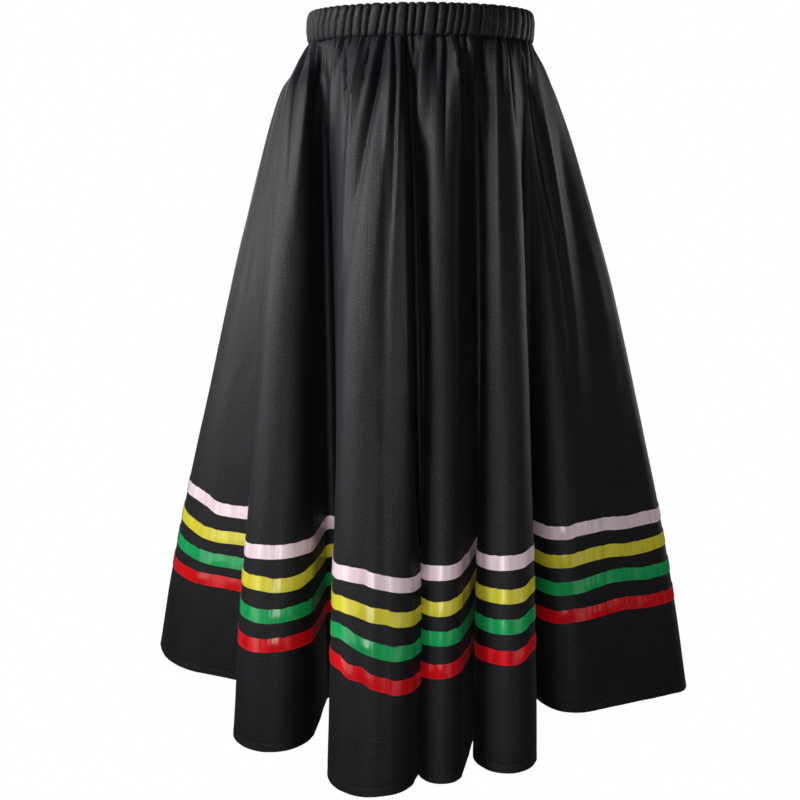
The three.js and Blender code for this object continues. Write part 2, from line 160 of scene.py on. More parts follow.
class Belt:
    """The hem seen from above: a belt round the discs of the folds, in mm."""

    bend_step = math.radians(7.0)
    finest_step = 0.9
    coarsest_step = 5.5

    def __init__(self, folds: tuple[Fold, ...]) -> None:
        """Finds each arc, the straight that follows it, and where each starts along the hem.

        Args:
            folds: The discs, anticlockwise from the left.
        """
        turn, x, y, radius = (np.array([getattr(f, n) for f in folds], float)
                              for n in ("turn", "x", "y", "radius"))
        reach = turn * radius
        across = np.hypot(np.roll(x, -1) - x, np.roll(y, -1) - y)
        lean = np.arcsin((np.roll(reach, -1) - reach) / across)
        heading = np.arctan2(np.roll(y, -1) - y, np.roll(x, -1) - x) - lean
        side = np.stack([np.sin(heading), -np.cos(heading)], 1)
        self.leave = side * reach[:, None] + np.stack([x, y], 1)
        self.arrive = side * np.roll(reach, -1)[:, None] + np.roll(np.stack([x, y], 1), -1, 0)
        incoming = np.roll(heading, 1)
        sweep = np.mod((heading - incoming) * turn, 2 * math.pi)
        self.first = incoming - turn * math.pi / 2
        self.turn, self.radius, self.centre = turn, radius, np.stack([x, y], 1)
        self.bend = sweep * radius
        self.straight = np.hypot(*(self.arrive - self.leave).T)
        ends = np.cumsum(self.bend + self.straight)
        self.start = np.concatenate([[0.0], ends[:-1]])
        self.length = float(ends[-1])

    def span_at(self, along: Array) -> tuple[Array, Array]:
        """Finds the fold that a place belongs to.

        Args:
            along: Distances along the hem, in mm.

        Returns:
            The fold's number, and how far into its span the place is.
        """
        place = np.mod(along, self.length)
        span = np.searchsorted(self.start, place, "right") - 1
        return span, place - self.start[span]

    def point(self, along: Array) -> Array:
        """The point of the hem at each distance along it, seen from above.

        Args:
            along: Distances along the hem, in mm.

        Returns:
            X and Y of each.
        """
        i, into = self.span_at(along)
        angle = self.first[i] + self.turn[i] * into / self.radius[i]
        bent = self.centre[i] + self.radius[i][..., None] * np.stack([np.cos(angle), np.sin(angle)], -1)
        share = ((into - self.bend[i]) / self.straight[i])[..., None]
        run = self.leave[i] * (1 - share) + self.arrive[i] * share
        return np.where((into <= self.bend[i])[..., None], bent, run)

    def step_at(self, along: Array) -> Array:
        """The step wanted between columns of points: finer round the bends.

        Args:
            along: Distances along the hem, in mm.

        Returns:
            Steps, in mm.
        """
        span, into = self.span_at(along)
        bent = np.clip(self.radius[span] * self.bend_step, self.finest_step, self.coarsest_step)
        return np.where(into <= self.bend[span], bent, self.coarsest_step)


@dataclass(frozen=True)
class SkirtForm:
    """The skirt's shape, as the solids have it, in mm."""

    waist_half_width: float = 131.0
    waist_half_depth: float = 101.0
    band_height: float = 36.0
    seam_gap: float = 0.3
    hem_height: float = -794.0
    lift: float = 1.6
    lift_tilt: float = 0.9
    ridge_onset: float = 0.35
    ridge_rise: float = 0.04
    zone_top: float = 0.69
    zone_bottom: float = 0.875
    belt: Belt = field(default_factory=lambda: Belt(FOLDS))

    @property
    def top_edge(self) -> float:
        """Height of the panels' top edge."""
        return -self.band_height / 2 - self.seam_gap

    def band_lift(self, up: float) -> float:
        """How far the sewn band rides up from its solid's place: its foot more than its top."""
        return self.lift - self.lift_tilt * up

    def round_the_hem(self, values: list[float], lap_rise: float) -> SmoothCurve:
        """Carries a value of each fold smoothly all round the hem.

        Args:
            values: One for each fold, at the middle of its arc.
            lap_rise: How much the value grows in one lap.

        Returns:
            The curve, by distance along the hem.
        """
        middles = self.belt.start + self.belt.bend / 2
        laps = (-1, 0, 1)
        xs = np.concatenate([middles + lap * self.belt.length for lap in laps])
        ys = np.concatenate([np.array(values, float) + lap * lap_rise for lap in laps])
        return SmoothCurve(list(xs), list(ys))

    def waist_angle(self, along: Array) -> Array:
        """Where the cloth over each place meets the band, in degrees from the front."""
        return self.round_the_hem([f.waist for f in FOLDS], FULL_TURN)(np.mod(along, self.belt.length))

    def sag(self, along: Array) -> Array:
        """How much further from the hem the ribbons lie, in mm."""
        return self.round_the_hem([f.sag for f in FOLDS], 0.0)(np.mod(along, self.belt.length))

    def flare(self, down: Array, waist_angle: Array) -> Array:
        """How far the cloth has moved out from the waist to the hem.

        Args:
            down: Share of the way down.
            waist_angle: Degrees from the front, at the band.

        Returns:
            Shares from 0 to 1.
        """
        side = np.sin(np.radians(waist_angle))
        left = np.maximum(0, -side) ** 2
        right = np.maximum(0, side) ** 2
        downs = [row.down for row in FLARE]
        by_side = {name: SmoothCurve(downs, [getattr(row, name) for row in FLARE])(down)
                   for name in ("left", "front", "right")}
        return by_side["left"] * left + by_side["right"] * right + by_side["front"] * (1 - left - right)

    def waist_point(self, waist_angle: Array) -> Array:
        """The waist's oval, seen from above.

        Args:
            waist_angle: Degrees from the front.

        Returns:
            X and Y at each angle, in mm.
        """
        angle = np.radians(waist_angle)
        x, y = self.waist_half_width * np.sin(angle), -self.waist_half_depth * np.cos(angle)
        return np.stack([x, y], -1)

    def waist_normal(self, waist_angle: Array) -> Array:
        """Straight out of the waist's oval, seen from above.

        Args:
            waist_angle: Degrees from the front.

        Returns:
            Unit vectors, of X and Y.
        """
        angle = np.radians(waist_angle)
        x, y = np.sin(angle) / self.waist_half_width, -np.cos(angle) / self.waist_half_depth
        out = np.stack([x, y], -1)
        return out / np.linalg.norm(out, axis=-1, keepdims=True)

    def ridges(self, down: Array, waist_angle: Array) -> Array:
        """How far the longer gathers push the cloth out.

        Args:
            down: Share of the way down.
            waist_angle: Degrees from the front, at the band.

        Returns:
            Millimetres.
        """
        total = np.zeros(np.broadcast(down, waist_angle).shape)
        for ridge in RIDGES:
            apart = np.mod(waist_angle - ridge.at + FULL_TURN / 2, FULL_TURN) - FULL_TURN / 2
            fade = np.cos(math.pi / 2 * np.minimum(1, down / ridge.reach)) ** 2
            start = np.minimum(1, self.ridge_onset + down / self.ridge_rise)
            total = total + ridge.out * np.exp(-((apart / ridge.width) ** 2)) * fade * start
        return total

    def height(self, down: Array) -> Array:
        """Height of the cloth, in mm."""
        return self.top_edge + (self.hem_height - self.top_edge) * down

    def plain_point(self, along: Array, down: Array) -> Array:
        """The outside of the cloth without its fine gathers.

        Args:
            along: Distance along the hem, in mm.
            down: Share of the way down from the band to the hem.

        Returns:
            Points, in mm.
        """
        along, down = np.broadcast_arrays(np.asarray(along, float), np.asarray(down, float))
        angle = self.waist_angle(along)
        share = self.flare(down, angle)[..., None]
        plan = self.waist_point(angle) * (1 - share) + self.belt.point(along) * share
        plan = plan + self.waist_normal(angle) * self.ridges(down, angle)[..., None]
        return np.concatenate([plan, self.height(down)[..., None]], -1)


class Crease(NamedTuple):
    """A crease: a ridge (out above 0) or a trough, that drifts on its way down.

    top and foot are shares of the way down, at_top, at_middle and at_foot are places along the hem
    in mm, and wide_top and wide_foot are half widths in mm.
    """

    top: float
    foot: float
    at_top: float
    at_middle: float
    at_foot: float
    out: float
    wide_top: float
    wide_foot: float


CREASES: tuple[Crease, ...] = tuple(Crease(*row) for row in (
    (0.25, 0.5, 262, 252, 245, -1.6, 5, 8), (0.14, 0.34, 282, 270, 262, 1.6, 5, 8),
    (0.05, 0.45, 470, 452, 460, 3, 5, 8), (0, 0.3, 492, 512, 494, -4.5, 3.5, 7),
    (0, 0.35, 572, 542, 530, 4, 4, 7), (0, 0.08, 630, 628, 622, -3, 3, 4),
    (0, 0.3, 662, 612, 600, -5, 4, 8), (0, 0.12, 724, 716, 700, -3.5, 2.5, 4),
    (0, 0.3, 770, 715, 668, 4.8, 3.5, 8), (0, 0.22, 787, 812, 800, -6.5, 3, 6),
    (0, 0.5, 850, 838, 790, 5, 3.5, 8), (0, 0.035, 860, 860, 860, -4.5, 2.2, 2.5),
    (0, 0.13, 886, 876, 868, -6, 3, 4), (0, 0.08, 912, 900, 893, 4, 3.5, 4),
    (0, 0.42, 940, 875, 850, -9, 3.5, 12), (0, 0.52, 978, 925, 918, 4.2, 4.5, 10),
    (0, 0.46, 998, 955, 938, -3.6, 2.5, 4), (0, 0.5, 1028, 962, 952, 3.6, 3.5, 6),
    (0.42, 2.2, 1016, 1012, 1008, 12, 18, 26), (0, 0.24, 1050, 1060, 1064, -6.5, 3, 5),
    (0, 0.05, 1068, 1069, 1072, 3.5, 2.5, 3), (0, 0.45, 1112, 1100, 1140, 6, 6, 10),
    (0, 0.09, 1150, 1152, 1156, -3.8, 3, 3.5), (0, 0.055, 1168, 1167, 1168, 3, 2.5, 3),
    (0, 0.26, 1184, 1177, 1178, -6, 4, 6), (0, 0.2, 1205, 1222, 1214, 7, 3.5, 6),
    (0, 0.3, 1236, 1262, 1292, -5.5, 3.5, 7), (0, 0.1, 1292, 1299, 1302, 4.5, 3, 4),
    (0, 0.2, 1322, 1331, 1338, 3, 3.5, 5), (0, 0.24, 1345, 1358, 1362, -6, 3.5, 6),
    (0, 0.64, 1384, 1408, 1406, 5, 3.5, 8), (0, 0.12, 1402, 1410, 1418, -5, 2.5, 4),
    (0, 0.09, 1418, 1422, 1426, 3, 2.5, 3), (0, 0.22, 1462, 1470, 1500, -7, 4, 8),
    (0, 0.6, 1570, 1680, 1668, 4.8, 3.5, 7), (0, 0.66, 1600, 1720, 1686, -4.5, 3, 7),
    (0, 0.06, 1614, 1626, 1650, 3.2, 3, 3), (0.04, 0.7, 1690, 1742, 1706, 4.2, 4, 10),
    (0.09, 0.66, 1778, 1778, 1745, -5, 7, 20), (0.24, 0.72, 1815, 1818, 1806, 4, 12, 22),
    (0.47, 0.55, 880, 912, 945, 1.6, 5, 5), (0.52, 0.585, 915, 945, 975, 1.3, 4, 4),
    (0.35, 0.4, 870, 890, 910, 1.3, 4, 4), (0.44, 0.5, 905, 925, 940, -1.2, 4, 4),
))


class Groove(NamedTuple):
    """A groove between two gathers of the band.

    at is in degrees from the front, depth is a share of the deepest, lean is how far its top leans
    in degrees, and reach is how far it runs on below the band, in mm.
    """

    at: float
    depth: float
    lean: float
    reach: float


GROOVES: tuple[Groove, ...] = tuple(Groove(*row) for row in (
    (-84, 0.7, 0.6, 26), (-77.5, 0.6, 0.8, 34), (-71.8, 0.5, 1, 22), (-65.8, 0.55, 1.2, 28),
    (-60.9, 0.7, 1.4, 40), (-55.7, 0.9, 1.6, 26), (-50.5, 0.5, 1.4, 30), (-45.2, 0.65, 1.6, 20),
    (-39.8, 0.95, 1.8, 38), (-35.4, 0.9, 1.2, 18), (-30.3, 0.85, 1, 34), (-26.4, 0.95, 1.3, 26),
    (-20.7, 1, 1.6, 18), (-16.7, 1, 1.3, 40), (-12.8, 0.95, 0.9, 30), (-7.1, 1.1, 0.6, 44),
    (-3.4, 1, 0.8, 24), (0.8, 0.85, 1, 20), (7, 1.1, 0.9, 22), (11.7, 1.1, 1.2, 42),
    (15.6, 0.45, 1.2, 16), (19.1, 0.75, 1.4, 30), (22.7, 1.1, 1.3, 38), (29.2, 1.1, 1, 36),
    (34, 0.35, 0.4, 14), (40.8, 1, 0.4, 34), (47.2, 1.1, 0.6, 28), (51.6, 0.85, 0.8, 24),
    (59.1, 0.95, 0.8, 38), (65.4, 0.85, 0.6, 26), (71.5, 0.7, 0.5, 30), (77.5, 0.8, 0.4, 20),
    (83.5, 0.7, 0.6, 34),
))


def ease(share: Array) -> Array:
    """A smooth step from 0 to 1."""
    t = np.clip(share, 0, 1)
    return t * t * (3 - 2 * t)


def wave_noise(places: Array, lap: float, wavelength: float, seed: int) -> Array:
    """Smooth uneven waves that meet themselves after a lap.

    Args:
        places: Where to read them, in mm.
        lap: Length of the lap, in mm.
        wavelength: Typical length of a wave, in mm.
        seed: Which waves.

    Returns:
        Values of about -1 to 1.
    """
    count = max(4, int(round(lap / wavelength)))
    heights = np.random.default_rng(seed).uniform(-1, 1, count)
    spot = np.mod(places, lap) / lap * count
    first = np.floor(spot).astype(int) % count
    share = ease(spot - np.floor(spot))
    return heights[first] * (1 - share) + heights[(first + 1) % count] * share


@dataclass(frozen=True)
class Gathers:
    """The gathers of the band, all round, which run on a little way into the panels."""

    form: SkirtForm
    hidden_from: float = 89.5
    hidden_to: float = 270.0
    narrowest: float = 4.2
    widest: float = 7.2
    groove_depth: float = 2.7
    groove_width: float = 1.25
    groove_power: float = 1.25
    puff: float = 1.3
    puff_power: float = 2.2
    full_pitch: float = 11.0
    seed: int = 41

    def rows(self) -> list[Groove]:
        """The grooves that the front shows, and others like them round the back.

        Returns:
            All of them, in no special order.
        """
        rng = np.random.default_rng(self.seed)
        rows = list(GROOVES)
        at = self.hidden_from
        while at < self.hidden_to:
            rows.append(Groove(at, rng.uniform(0.5, 1.1), rng.uniform(-0.4, 1.6), rng.uniform(16, 44)))
            at += rng.uniform(self.narrowest, self.widest)
        return rows

    def out(self, waist_angle: Array, lean: float, fade: Callable[[Array], Array]) -> Array:
        """How far the gathers stand out.

        Args:
            waist_angle: Degrees from the front, for each column.
            lean: Share of each groove's lean to apply, from -1 at the foot to 1 at the top.
            fade: Takes the reach of each column's groove and gives the strength there.

        Returns:
            Millimetres, above 0 on a gather and below 0 in a groove.
        """
        table = np.array(self.rows(), float)
        start = np.mod(table[:, 0] + table[:, 2] * lean, FULL_TURN)
        order = np.argsort(start)
        table, start = table[order], start[order]
        angle = np.mod(waist_angle, FULL_TURN)
        right = np.searchsorted(start, angle, "right") % len(start)
        left = (right - 1) % len(start)
        radians = np.radians(angle)
        per_degree = np.hypot(self.form.waist_half_width * np.cos(radians),
                              self.form.waist_half_depth * np.sin(radians)) * math.pi / 180
        after = np.mod(angle - start[left], FULL_TURN) * per_degree
        before = np.mod(start[right] - angle, FULL_TURN) * per_degree
        pitch = after + before + 1e-6
        round_top = 1 - np.abs((after - before) / pitch) ** self.puff_power
        swell = self.puff * round_top * np.minimum(1, pitch / self.full_pitch)
        total = swell * (fade(table[left, 3]) + fade(table[right, 3])) / 2
        for side, distance in ((left, after), (right, before)):
            notch = table[side, 1] * np.exp(-((distance / self.groove_width) ** self.groove_power))
            total = total - self.groove_depth * notch * fade(table[side, 3])
        return total


class Unevenness(NamedTuple):
    """A layer of slow waves in the cloth: they drift sideways and come and go on their way down.

    drift and wavelength are in mm, the bends and beats are radians in the whole way down, and each
    start is the angle at the top.
    """

    drift: float
    bends: float
    bend_start: float
    wavelength: float
    seed: int
    beats: float
    beat_start: float


UNEVENNESS: tuple[Unevenness, ...] = (
    Unevenness(60, 9, 0, 34, 5, 17, 1),
    Unevenness(-45, 14, 2, 21, 6, 29, 0),
)

# The hem's ripples: the wavelength in mm, and the seed, of each layer.
RIPPLES = ((6.5, 3), (23, 4))

# How flat the widest flute's face is, at shares of the way down.
FLATNESS = ([0, 0.05, 0.13, 0.45, 0.7, 1], [0, 0.3, 0.95, 0.95, 0.5, 0.25])

# The power of a crease's section by its half width at the foot: narrow ones are sharp.
SHARPNESS = ([5, 14], [1.25, 1.7])


@dataclass(frozen=True)
class Cloth:
    """The outside of the cloth with its gathers, creases, seams and turned hem, in mm."""

    form: SkirtForm
    gathers: Gathers
    gather_run: float = 1.5
    gather_power: float = 1.3
    seam_tuck: float = 1.4
    seam_width: float = 3.0
    seam_reach: float = 8.0
    top_tuck: float = 2.6
    top_roll: float = 3.0
    top_rise: float = 1.6
    rise_fade: float = 2.5
    top_lean: float = 18.0
    lift_fade: float = 25.0
    hem_turn: float = 9.0
    hem_dent: float = 0.3
    dent_width: float = 1.6
    hem_ripple: float = 0.35
    ripple_fade: float = 10.0
    fall: float = 1.03
    mottle: float = 0.28
    mottle_from: float = 0.1
    mottle_ease: float = 0.2
    hidden_seed: int = 7
    hidden_end: float = 430.0
    seam_margin: float = 30.0
    flat_from: float = 930.0
    flat_to: float = 1058.0
    flat_slope: float = -0.22
    flat_start: float = 0.3
    flat_stop: float = 0.78
    fewest_columns: int = 8

    def creases(self) -> list[Crease]:
        """The creases listed for the front, and others like them on the hidden sides.

        Returns:
            All of them.
        """
        rng = np.random.default_rng(self.hidden_seed)
        rows = list(CREASES)
        length = self.form.belt.length
        half = length / 2
        margin = self.seam_margin
        for low, high in ((margin, self.hidden_end), (half + margin, length - margin)):
            at, sign = low, 1
            while at < high:
                # Most are short, and one in ten runs half way down.
                foot = rng.choice([0.09, 0.14, 0.22, 0.34, 0.5], p=[0.3, 0.25, 0.2, 0.15, 0.1])
                drift = rng.uniform(-22, 22)
                middle = float(np.clip(at + drift, low, high))
                end = float(np.clip(middle + rng.uniform(-12, 12), low, high))
                out = sign * rng.uniform(1.6, 4.0)
                wide_top, wide_foot = rng.uniform(3.5, 5), rng.uniform(5, 9)
                rows.append(Crease(0.0, foot, at, middle, end, out, wide_top, wide_foot))
                at += rng.uniform(20, 42)
                sign = -sign if rng.random() < 0.85 else sign
        return rows

    def reach_of(self, crease: Crease) -> float:
        """How far from its middle a crease can be felt, in mm along the hem."""
        return max(60.0, 15 * crease.wide_top, 5 * crease.wide_foot)

    def crease_out(self, along: Array, downs: Array, run: Array) -> Array:
        """How far the creases push the cloth out.

        Args:
            along: Rising places along the hem.
            downs: Shares of the way down, by row and column.
            run: How far along its own row each point is.

        Returns:
            Millimetres, by row and column.
        """
        out = np.zeros(downs.shape)
        for crease in self.creases():
            reach = self.reach_of(crease)
            low = min(crease.at_top, crease.at_middle, crease.at_foot) - reach
            high = max(crease.at_top, crease.at_middle, crease.at_foot) + reach
            if high < along[0] or low > along[-1]:
                continue
            rows = np.flatnonzero((downs.max(1) >= crease.top) & (downs.min(1) <= crease.foot))
            near = np.flatnonzero((along >= low) & (along <= high))
            if not len(rows) or not len(near):
                continue
            block = np.ix_(rows, near)
            down = downs[block]
            share = np.clip((down - crease.top) / (crease.foot - crease.top), 0, 1)
            bow = 4 * (crease.at_middle - (crease.at_top + crease.at_foot) / 2)
            centre = crease.at_top * (1 - share) + crease.at_foot * share + bow * share * (1 - share)
            centre_run = np.array([np.interp(c, along, run[row]) for row, c in zip(rows, centre)])
            width = crease.wide_top + (crease.wide_foot - crease.wide_top) * share
            # One that starts under the band is there at once, and one further down grows in.
            begin = ease(share / 0.25) if crease.top > 0 else 0.55 + 0.45 * ease(share / 0.15)
            inside = (down >= crease.top) & (down <= crease.foot)
            fade = np.cos(math.pi / 2 * share) ** 2 * begin * inside
            sharp = np.interp(crease.wide_foot, *SHARPNESS)
            out[block] += crease.out * fade * np.exp(-np.abs((run[block] - centre_run) / width) ** sharp)
        return out

    def flatten(self, base: Array, along: Array, downs: Array) -> Array:
        """Brings the right half of the widest front flute forward, so its face is broad and flat.

        Args:
            base: Points of the plain cloth, by row and column.
            along: Rising places along the hem.
            downs: Shares of the way down, by row and column.

        Returns:
            The points.
        """
        near = np.flatnonzero((along >= self.flat_from) & (along <= self.flat_to))
        if len(near) < self.fewest_columns:
            return base
        x, y = base[:, near, 0], base[:, near, 1]
        face = y[:, :1] + self.flat_slope * (x - x[:, :1])
        share = (x - x[:, :1]) / (x[:, -1:] - x[:, :1])
        window = ease(share / self.flat_start)
        window = window * (1 - ease((share - self.flat_stop) / (1 - self.flat_stop)))
        strength = np.interp(downs[:, near], *FLATNESS)
        flat = base.copy()
        flat[:, near, 1] = y + np.minimum(0, face - y) * window * strength
        return flat

    def relief(self, along: Array, down: Array) -> tuple[Array, Array, Array]:
        """The plain cloth, the way it is pushed, and how far gathers, creases and seams push it.

        Args:
            along: Rising places along the hem, one for each column, in mm.
            down: Shares of the way down, by row, or by row and column.

        Returns:
            Points, unit vectors and distances, by row and column.
        """
        places, downs = np.broadcast_arrays(along[None, :], down)
        base = self.flatten(self.form.plain_point(places, downs), along, downs)
        steps = np.linalg.norm(np.diff(base, axis=1), axis=2)
        run = np.concatenate([np.zeros((base.shape[0], 1)), np.cumsum(steps, axis=1)], 1)
        lap = self.form.belt.length
        depth = self.form.top_edge - self.form.height(downs)
        angle = self.form.waist_angle(along)

        def gather_fade(reach: Array) -> Array:
            """How strong the gathers still are under the band."""
            return np.maximum(0, 1 - depth / (self.gather_run * reach)) ** self.gather_power

        out = self.crease_out(along, downs, run)
        out = out + self.gathers.out(angle, -1.0, gather_fade)
        out = out - self.top_tuck * np.exp(-depth / self.top_roll)
        for seam in (0.0, lap / 2, lap):
            if along[0] - self.seam_reach <= seam <= along[-1] + self.seam_reach:
                seam_run = np.array([np.interp(seam, along, row) for row in run])[:, None]
                out = out - self.seam_tuck * np.exp(-np.abs(run - seam_run) / self.seam_width)
        from_hem = (self.form.height(downs) - self.form.hem_height) * self.fall
        out = out - self.hem_dent * np.exp(-(((from_hem - self.hem_turn) / self.dent_width) ** 2))
        ripple = sum(wave_noise(places, lap, wavelength, seed) for wavelength, seed in RIPPLES)
        out = out + self.hem_ripple * ripple * np.exp(-from_hem / self.ripple_fade)
        slow = np.zeros(places.shape)
        for layer in UNEVENNESS:
            drift = layer.drift * np.sin(downs * layer.bends + layer.bend_start)
            waves = wave_noise(places + drift, lap, layer.wavelength, layer.seed)
            slow = slow + waves * np.sin(downs * layer.beats + layer.beat_start)
        out = out + self.mottle * slow * ease((downs - self.mottle_from) / self.mottle_ease)
        # Under the band the cloth is pushed level, and further down square to its face.
        normal = np.cross(np.gradient(base, axis=1), -np.gradient(base, axis=0))
        normal /= np.linalg.norm(normal, axis=2, keepdims=True)
        level = np.concatenate([self.form.waist_normal(angle), np.zeros(angle.shape + (1,))], -1)
        shallow = np.exp(-depth / self.top_lean)[..., None]
        push = normal * (1 - shallow) + level[None] * shallow
        rise = self.form.band_lift(-1) * np.exp(-depth / self.lift_fade)
        rise = rise + self.top_rise * np.exp(-depth / self.rise_fade)
        base = base + np.array([0, 0, 1]) * rise[..., None]
        return base, push / np.linalg.norm(push, axis=2, keepdims=True), out

    def line_round(self, above_hem: float, off: float, count: int = 2600) -> Array:
        """A line all round the skirt, for stitches.

        Args:
            above_hem: How far above the hem, in mm.
            off: How far off the cloth, in mm.
            count: How many points.

        Returns:
            Points.
        """
        along = np.linspace(0, self.form.belt.length, count + 1)[:-1]
        down = 1 - above_hem / (self.form.top_edge - self.form.hem_height)
        # The rows above and below it give the cloth's slope there.
        base, push, out = self.relief(along, np.array([[down - 0.002], [down], [down + 0.002]]))
        return (base + push * (out + off)[..., None])[1]


class Slot(Enum):
    """The material slots."""

    CLOTH = "black_cloth"
    PINK = "pink_satin"
    YELLOW = "yellow_satin"
    GREEN = "green_satin"
    RED = "red_satin"


def linear(hex_colour: str) -> tuple[float, float, float, float]:
    """Turns an sRGB hex colour to a linear one.

    Args:
        hex_colour: Such as "#17171a".

    Returns:
        Red, green, blue and alpha.
    """
    values = [int(hex_colour[i:i + 2], 16) / 255 for i in (1, 3, 5)]
    red, green, blue = (v / 12.92 if v <= 0.04045 else ((v + 0.055) / 1.055) ** 2.4 for v in values)
    return red, green, blue, 1.0


def add_node(tree: bpy.types.NodeTree, kind: str, settings: dict | None = None,
             links: dict | None = None) -> bpy.types.Node:
    """Adds a node with its settings and its links.

    Args:
        tree: The node tree to add it to.
        kind: The node's type.
        settings: Values by socket name or number, or by property name.
        links: Output sockets by input socket name or number.

    Returns:
        The node.
    """
    node = tree.nodes.new(kind)
    for name, value in (settings or {}).items():
        if isinstance(name, int) or (isinstance(name, str) and name in node.inputs):
            node.inputs[name].default_value = value
        else:
            setattr(node, name, value)
    for name, source in (links or {}).items():
        tree.links.new(source, node.inputs[name])
    return node


class Paint:
    """A material under way: its Principled shader and the nodes that feed it."""

    def __init__(self, name: str) -> None:
        """Starts the material.

        Args:
            name: The material's name.
        """
        self.material = bpy.data.materials.new(name)
        self.material.use_nodes = True
        self.tree = self.material.node_tree
        self.shader = self.tree.nodes["Principled BSDF"]

    def chart(self, label: str) -> bpy.types.NodeSocket:
        """Places on one of the mesh's own flat maps."""
        return add_node(self.tree, "ShaderNodeUVMap", {"uv_map": label}).outputs["UV"]

    def noise(self, places: bpy.types.NodeSocket, scale: float | tuple[float, float] = 1.0,
              detail: float = 2.0, roughness: float = 0.5) -> bpy.types.NodeSocket:
        """Uneven soft spots.

        Args:
            places: Where to read them.
            scale: How many to the metre, or how many across and down.
            detail: How many finer layers.
            roughness: How strong those are.

        Returns:
            Values of about 0.3 to 0.7.
        """
        if isinstance(scale, tuple):
            places = add_node(self.tree, "ShaderNodeMapping", {"Scale": (*scale, 1)},
                              {"Vector": places}).outputs["Vector"]
            scale = 1.0
        settings = {"Scale": scale, "Detail": detail, "Roughness": roughness}
        return add_node(self.tree, "ShaderNodeTexNoise", settings, {"Vector": places}).outputs["Fac"]

    def ranged(self, value: bpy.types.NodeSocket, low: float, high: float, start: float = 0.0,
               stop: float = 1.0) -> bpy.types.NodeSocket:
        """Carries a value from the range start to stop over to the range low to high."""
        settings = {"From Min": start, "From Max": stop, "To Min": low, "To Max": high}
        return add_node(self.tree, "ShaderNodeMapRange", settings, {"Value": value}).outputs["Result"]

    def feed(self, socket: str, source: bpy.types.NodeSocket) -> None:
        """Feeds one of the shader's sockets."""
        self.tree.links.new(source, self.shader.inputs[socket])

    def ramp(self, value: bpy.types.NodeSocket, places: tuple[float, float],
             colours: tuple[str, str]) -> None:
        """Feeds the base colour.

        Args:
            value: What it goes by.
            places: Values for the first and the last colour.
            colours: Both, in sRGB hex.
        """
        ramp = add_node(self.tree, "ShaderNodeValToRGB", {}, {"Fac": value})
        for element, place, colour in zip(ramp.color_ramp.elements, places, colours):
            element.position = place
            element.color = linear(colour)
        self.feed("Base Color", ramp.outputs["Color"])

    def bumps(self, *layers: tuple[bpy.types.NodeSocket, float, float]) -> None:
        """Feeds the normal.

        Args:
            layers: A height, a strength and a distance in metres for each, the broadest first.
        """
        links = {}
        for height, strength, distance in layers:
            bump = add_node(self.tree, "ShaderNodeBump", {"Strength": strength, "Distance": distance},
                            {"Height": height} | links)
            links = {"Normal": bump.outputs["Normal"]}
        self.feed("Normal", links["Normal"])

    def even(self, values: dict) -> None:
        """Sets sockets of the shader that are the same all over."""
        for name, value in values.items():
            self.shader.inputs[name].default_value = value


@dataclass(frozen=True)
class SateenFinish:
    """Black polyester and cotton sateen: a smooth weft face, so it takes a soft broad light."""

    name: str = "black_sateen_woven"
    dark: str = "#0c0c0f"
    pale: str = "#18181d"
    roughness: float = 0.57
    swing: float = 0.05
    dull: float = 0.1
    glossy: float = 0.34
    sheen: float = 0.04
    thread: float = 0.0013
    pucker: float = 0.005

    def material(self) -> bpy.types.Material:
        """Builds the material.

        Returns:
            The material.
        """
        paint = Paint(self.name)
        cloth = paint.chart("cut")
        # The yarns are 0.2 mm apart, and are drawn over six times as coarse to show at all.
        grain = paint.noise(cloth, (1 / self.thread, 0.6 / self.thread), roughness=0.6)
        patches = paint.noise(cloth, 26.0, detail=3.0, roughness=0.55)
        # The cloth puckers a little in upright lines, about 5 mm apart.
        puckers = paint.noise(paint.chart("hang"), (1 / self.pucker, 0.12 / self.pucker))
        tone = add_node(paint.tree, "ShaderNodeMix", {"data_type": "FLOAT", "Factor": 0.5},
                        {"A": grain, "B": patches})
        paint.ramp(tone.outputs["Result"], (0.3, 0.7), (self.dark, self.pale))
        low, high = self.roughness - self.swing, self.roughness + self.swing
        paint.feed("Roughness", paint.ranged(patches, low, high))
        paint.feed("Specular IOR Level", paint.ranged(grain, self.dull, self.glossy, 0.3, 0.7))
        paint.bumps((puckers, 0.4, 0.0008), (grain, 0.45, 0.00025))
        paint.even({"Sheen Weight": self.sheen, "Sheen Roughness": 0.4, "Sheen Tint": linear("#b8b6c4")})
        return paint.material


@dataclass(frozen=True)
class SatinFinish:
    """Polyester satin ribbon: long smooth floats across its width, so it shines in upright streaks. Its
    colour carries painted shade, darker in the troughs of its cockles.
    """

    name: str
    colour: str
    # The darker tone is painted shade, a darker copy of the colour laid in where the ribbon cockles.
    painted_shade: str
    roughness: float = 0.19
    swing: float = 0.06
    rib: float = 0.0012

    def material(self) -> bpy.types.Material:
        """Builds the material.

        Returns:
            The material.
        """
        paint = Paint(self.name)
        cloth = paint.chart("cloth")
        # The weft is 0.3 mm apart, and is drawn four times as coarse to show at all.
        grain = paint.noise(cloth, (1 / self.rib, 0.08 / self.rib), roughness=0.55)
        # The ribbon cockles where it is sewn, every 13 mm or so, and the same waves paint shade into its
        # colour: darker towards each trough.
        waves = paint.noise(cloth, (75, 9))
        paint.ramp(waves, (0.32, 0.62), (self.painted_shade, self.colour))
        low, high = self.roughness - self.swing, self.roughness + self.swing
        paint.feed("Roughness", paint.ranged(grain, low, high))
        paint.bumps((waves, 0.7, 0.0017), (grain, 0.3, 0.0002))
        paint.even({"Specular IOR Level": 0.42, "Anisotropic": 0.45, "Sheen Weight": 0.03})
        return paint.material


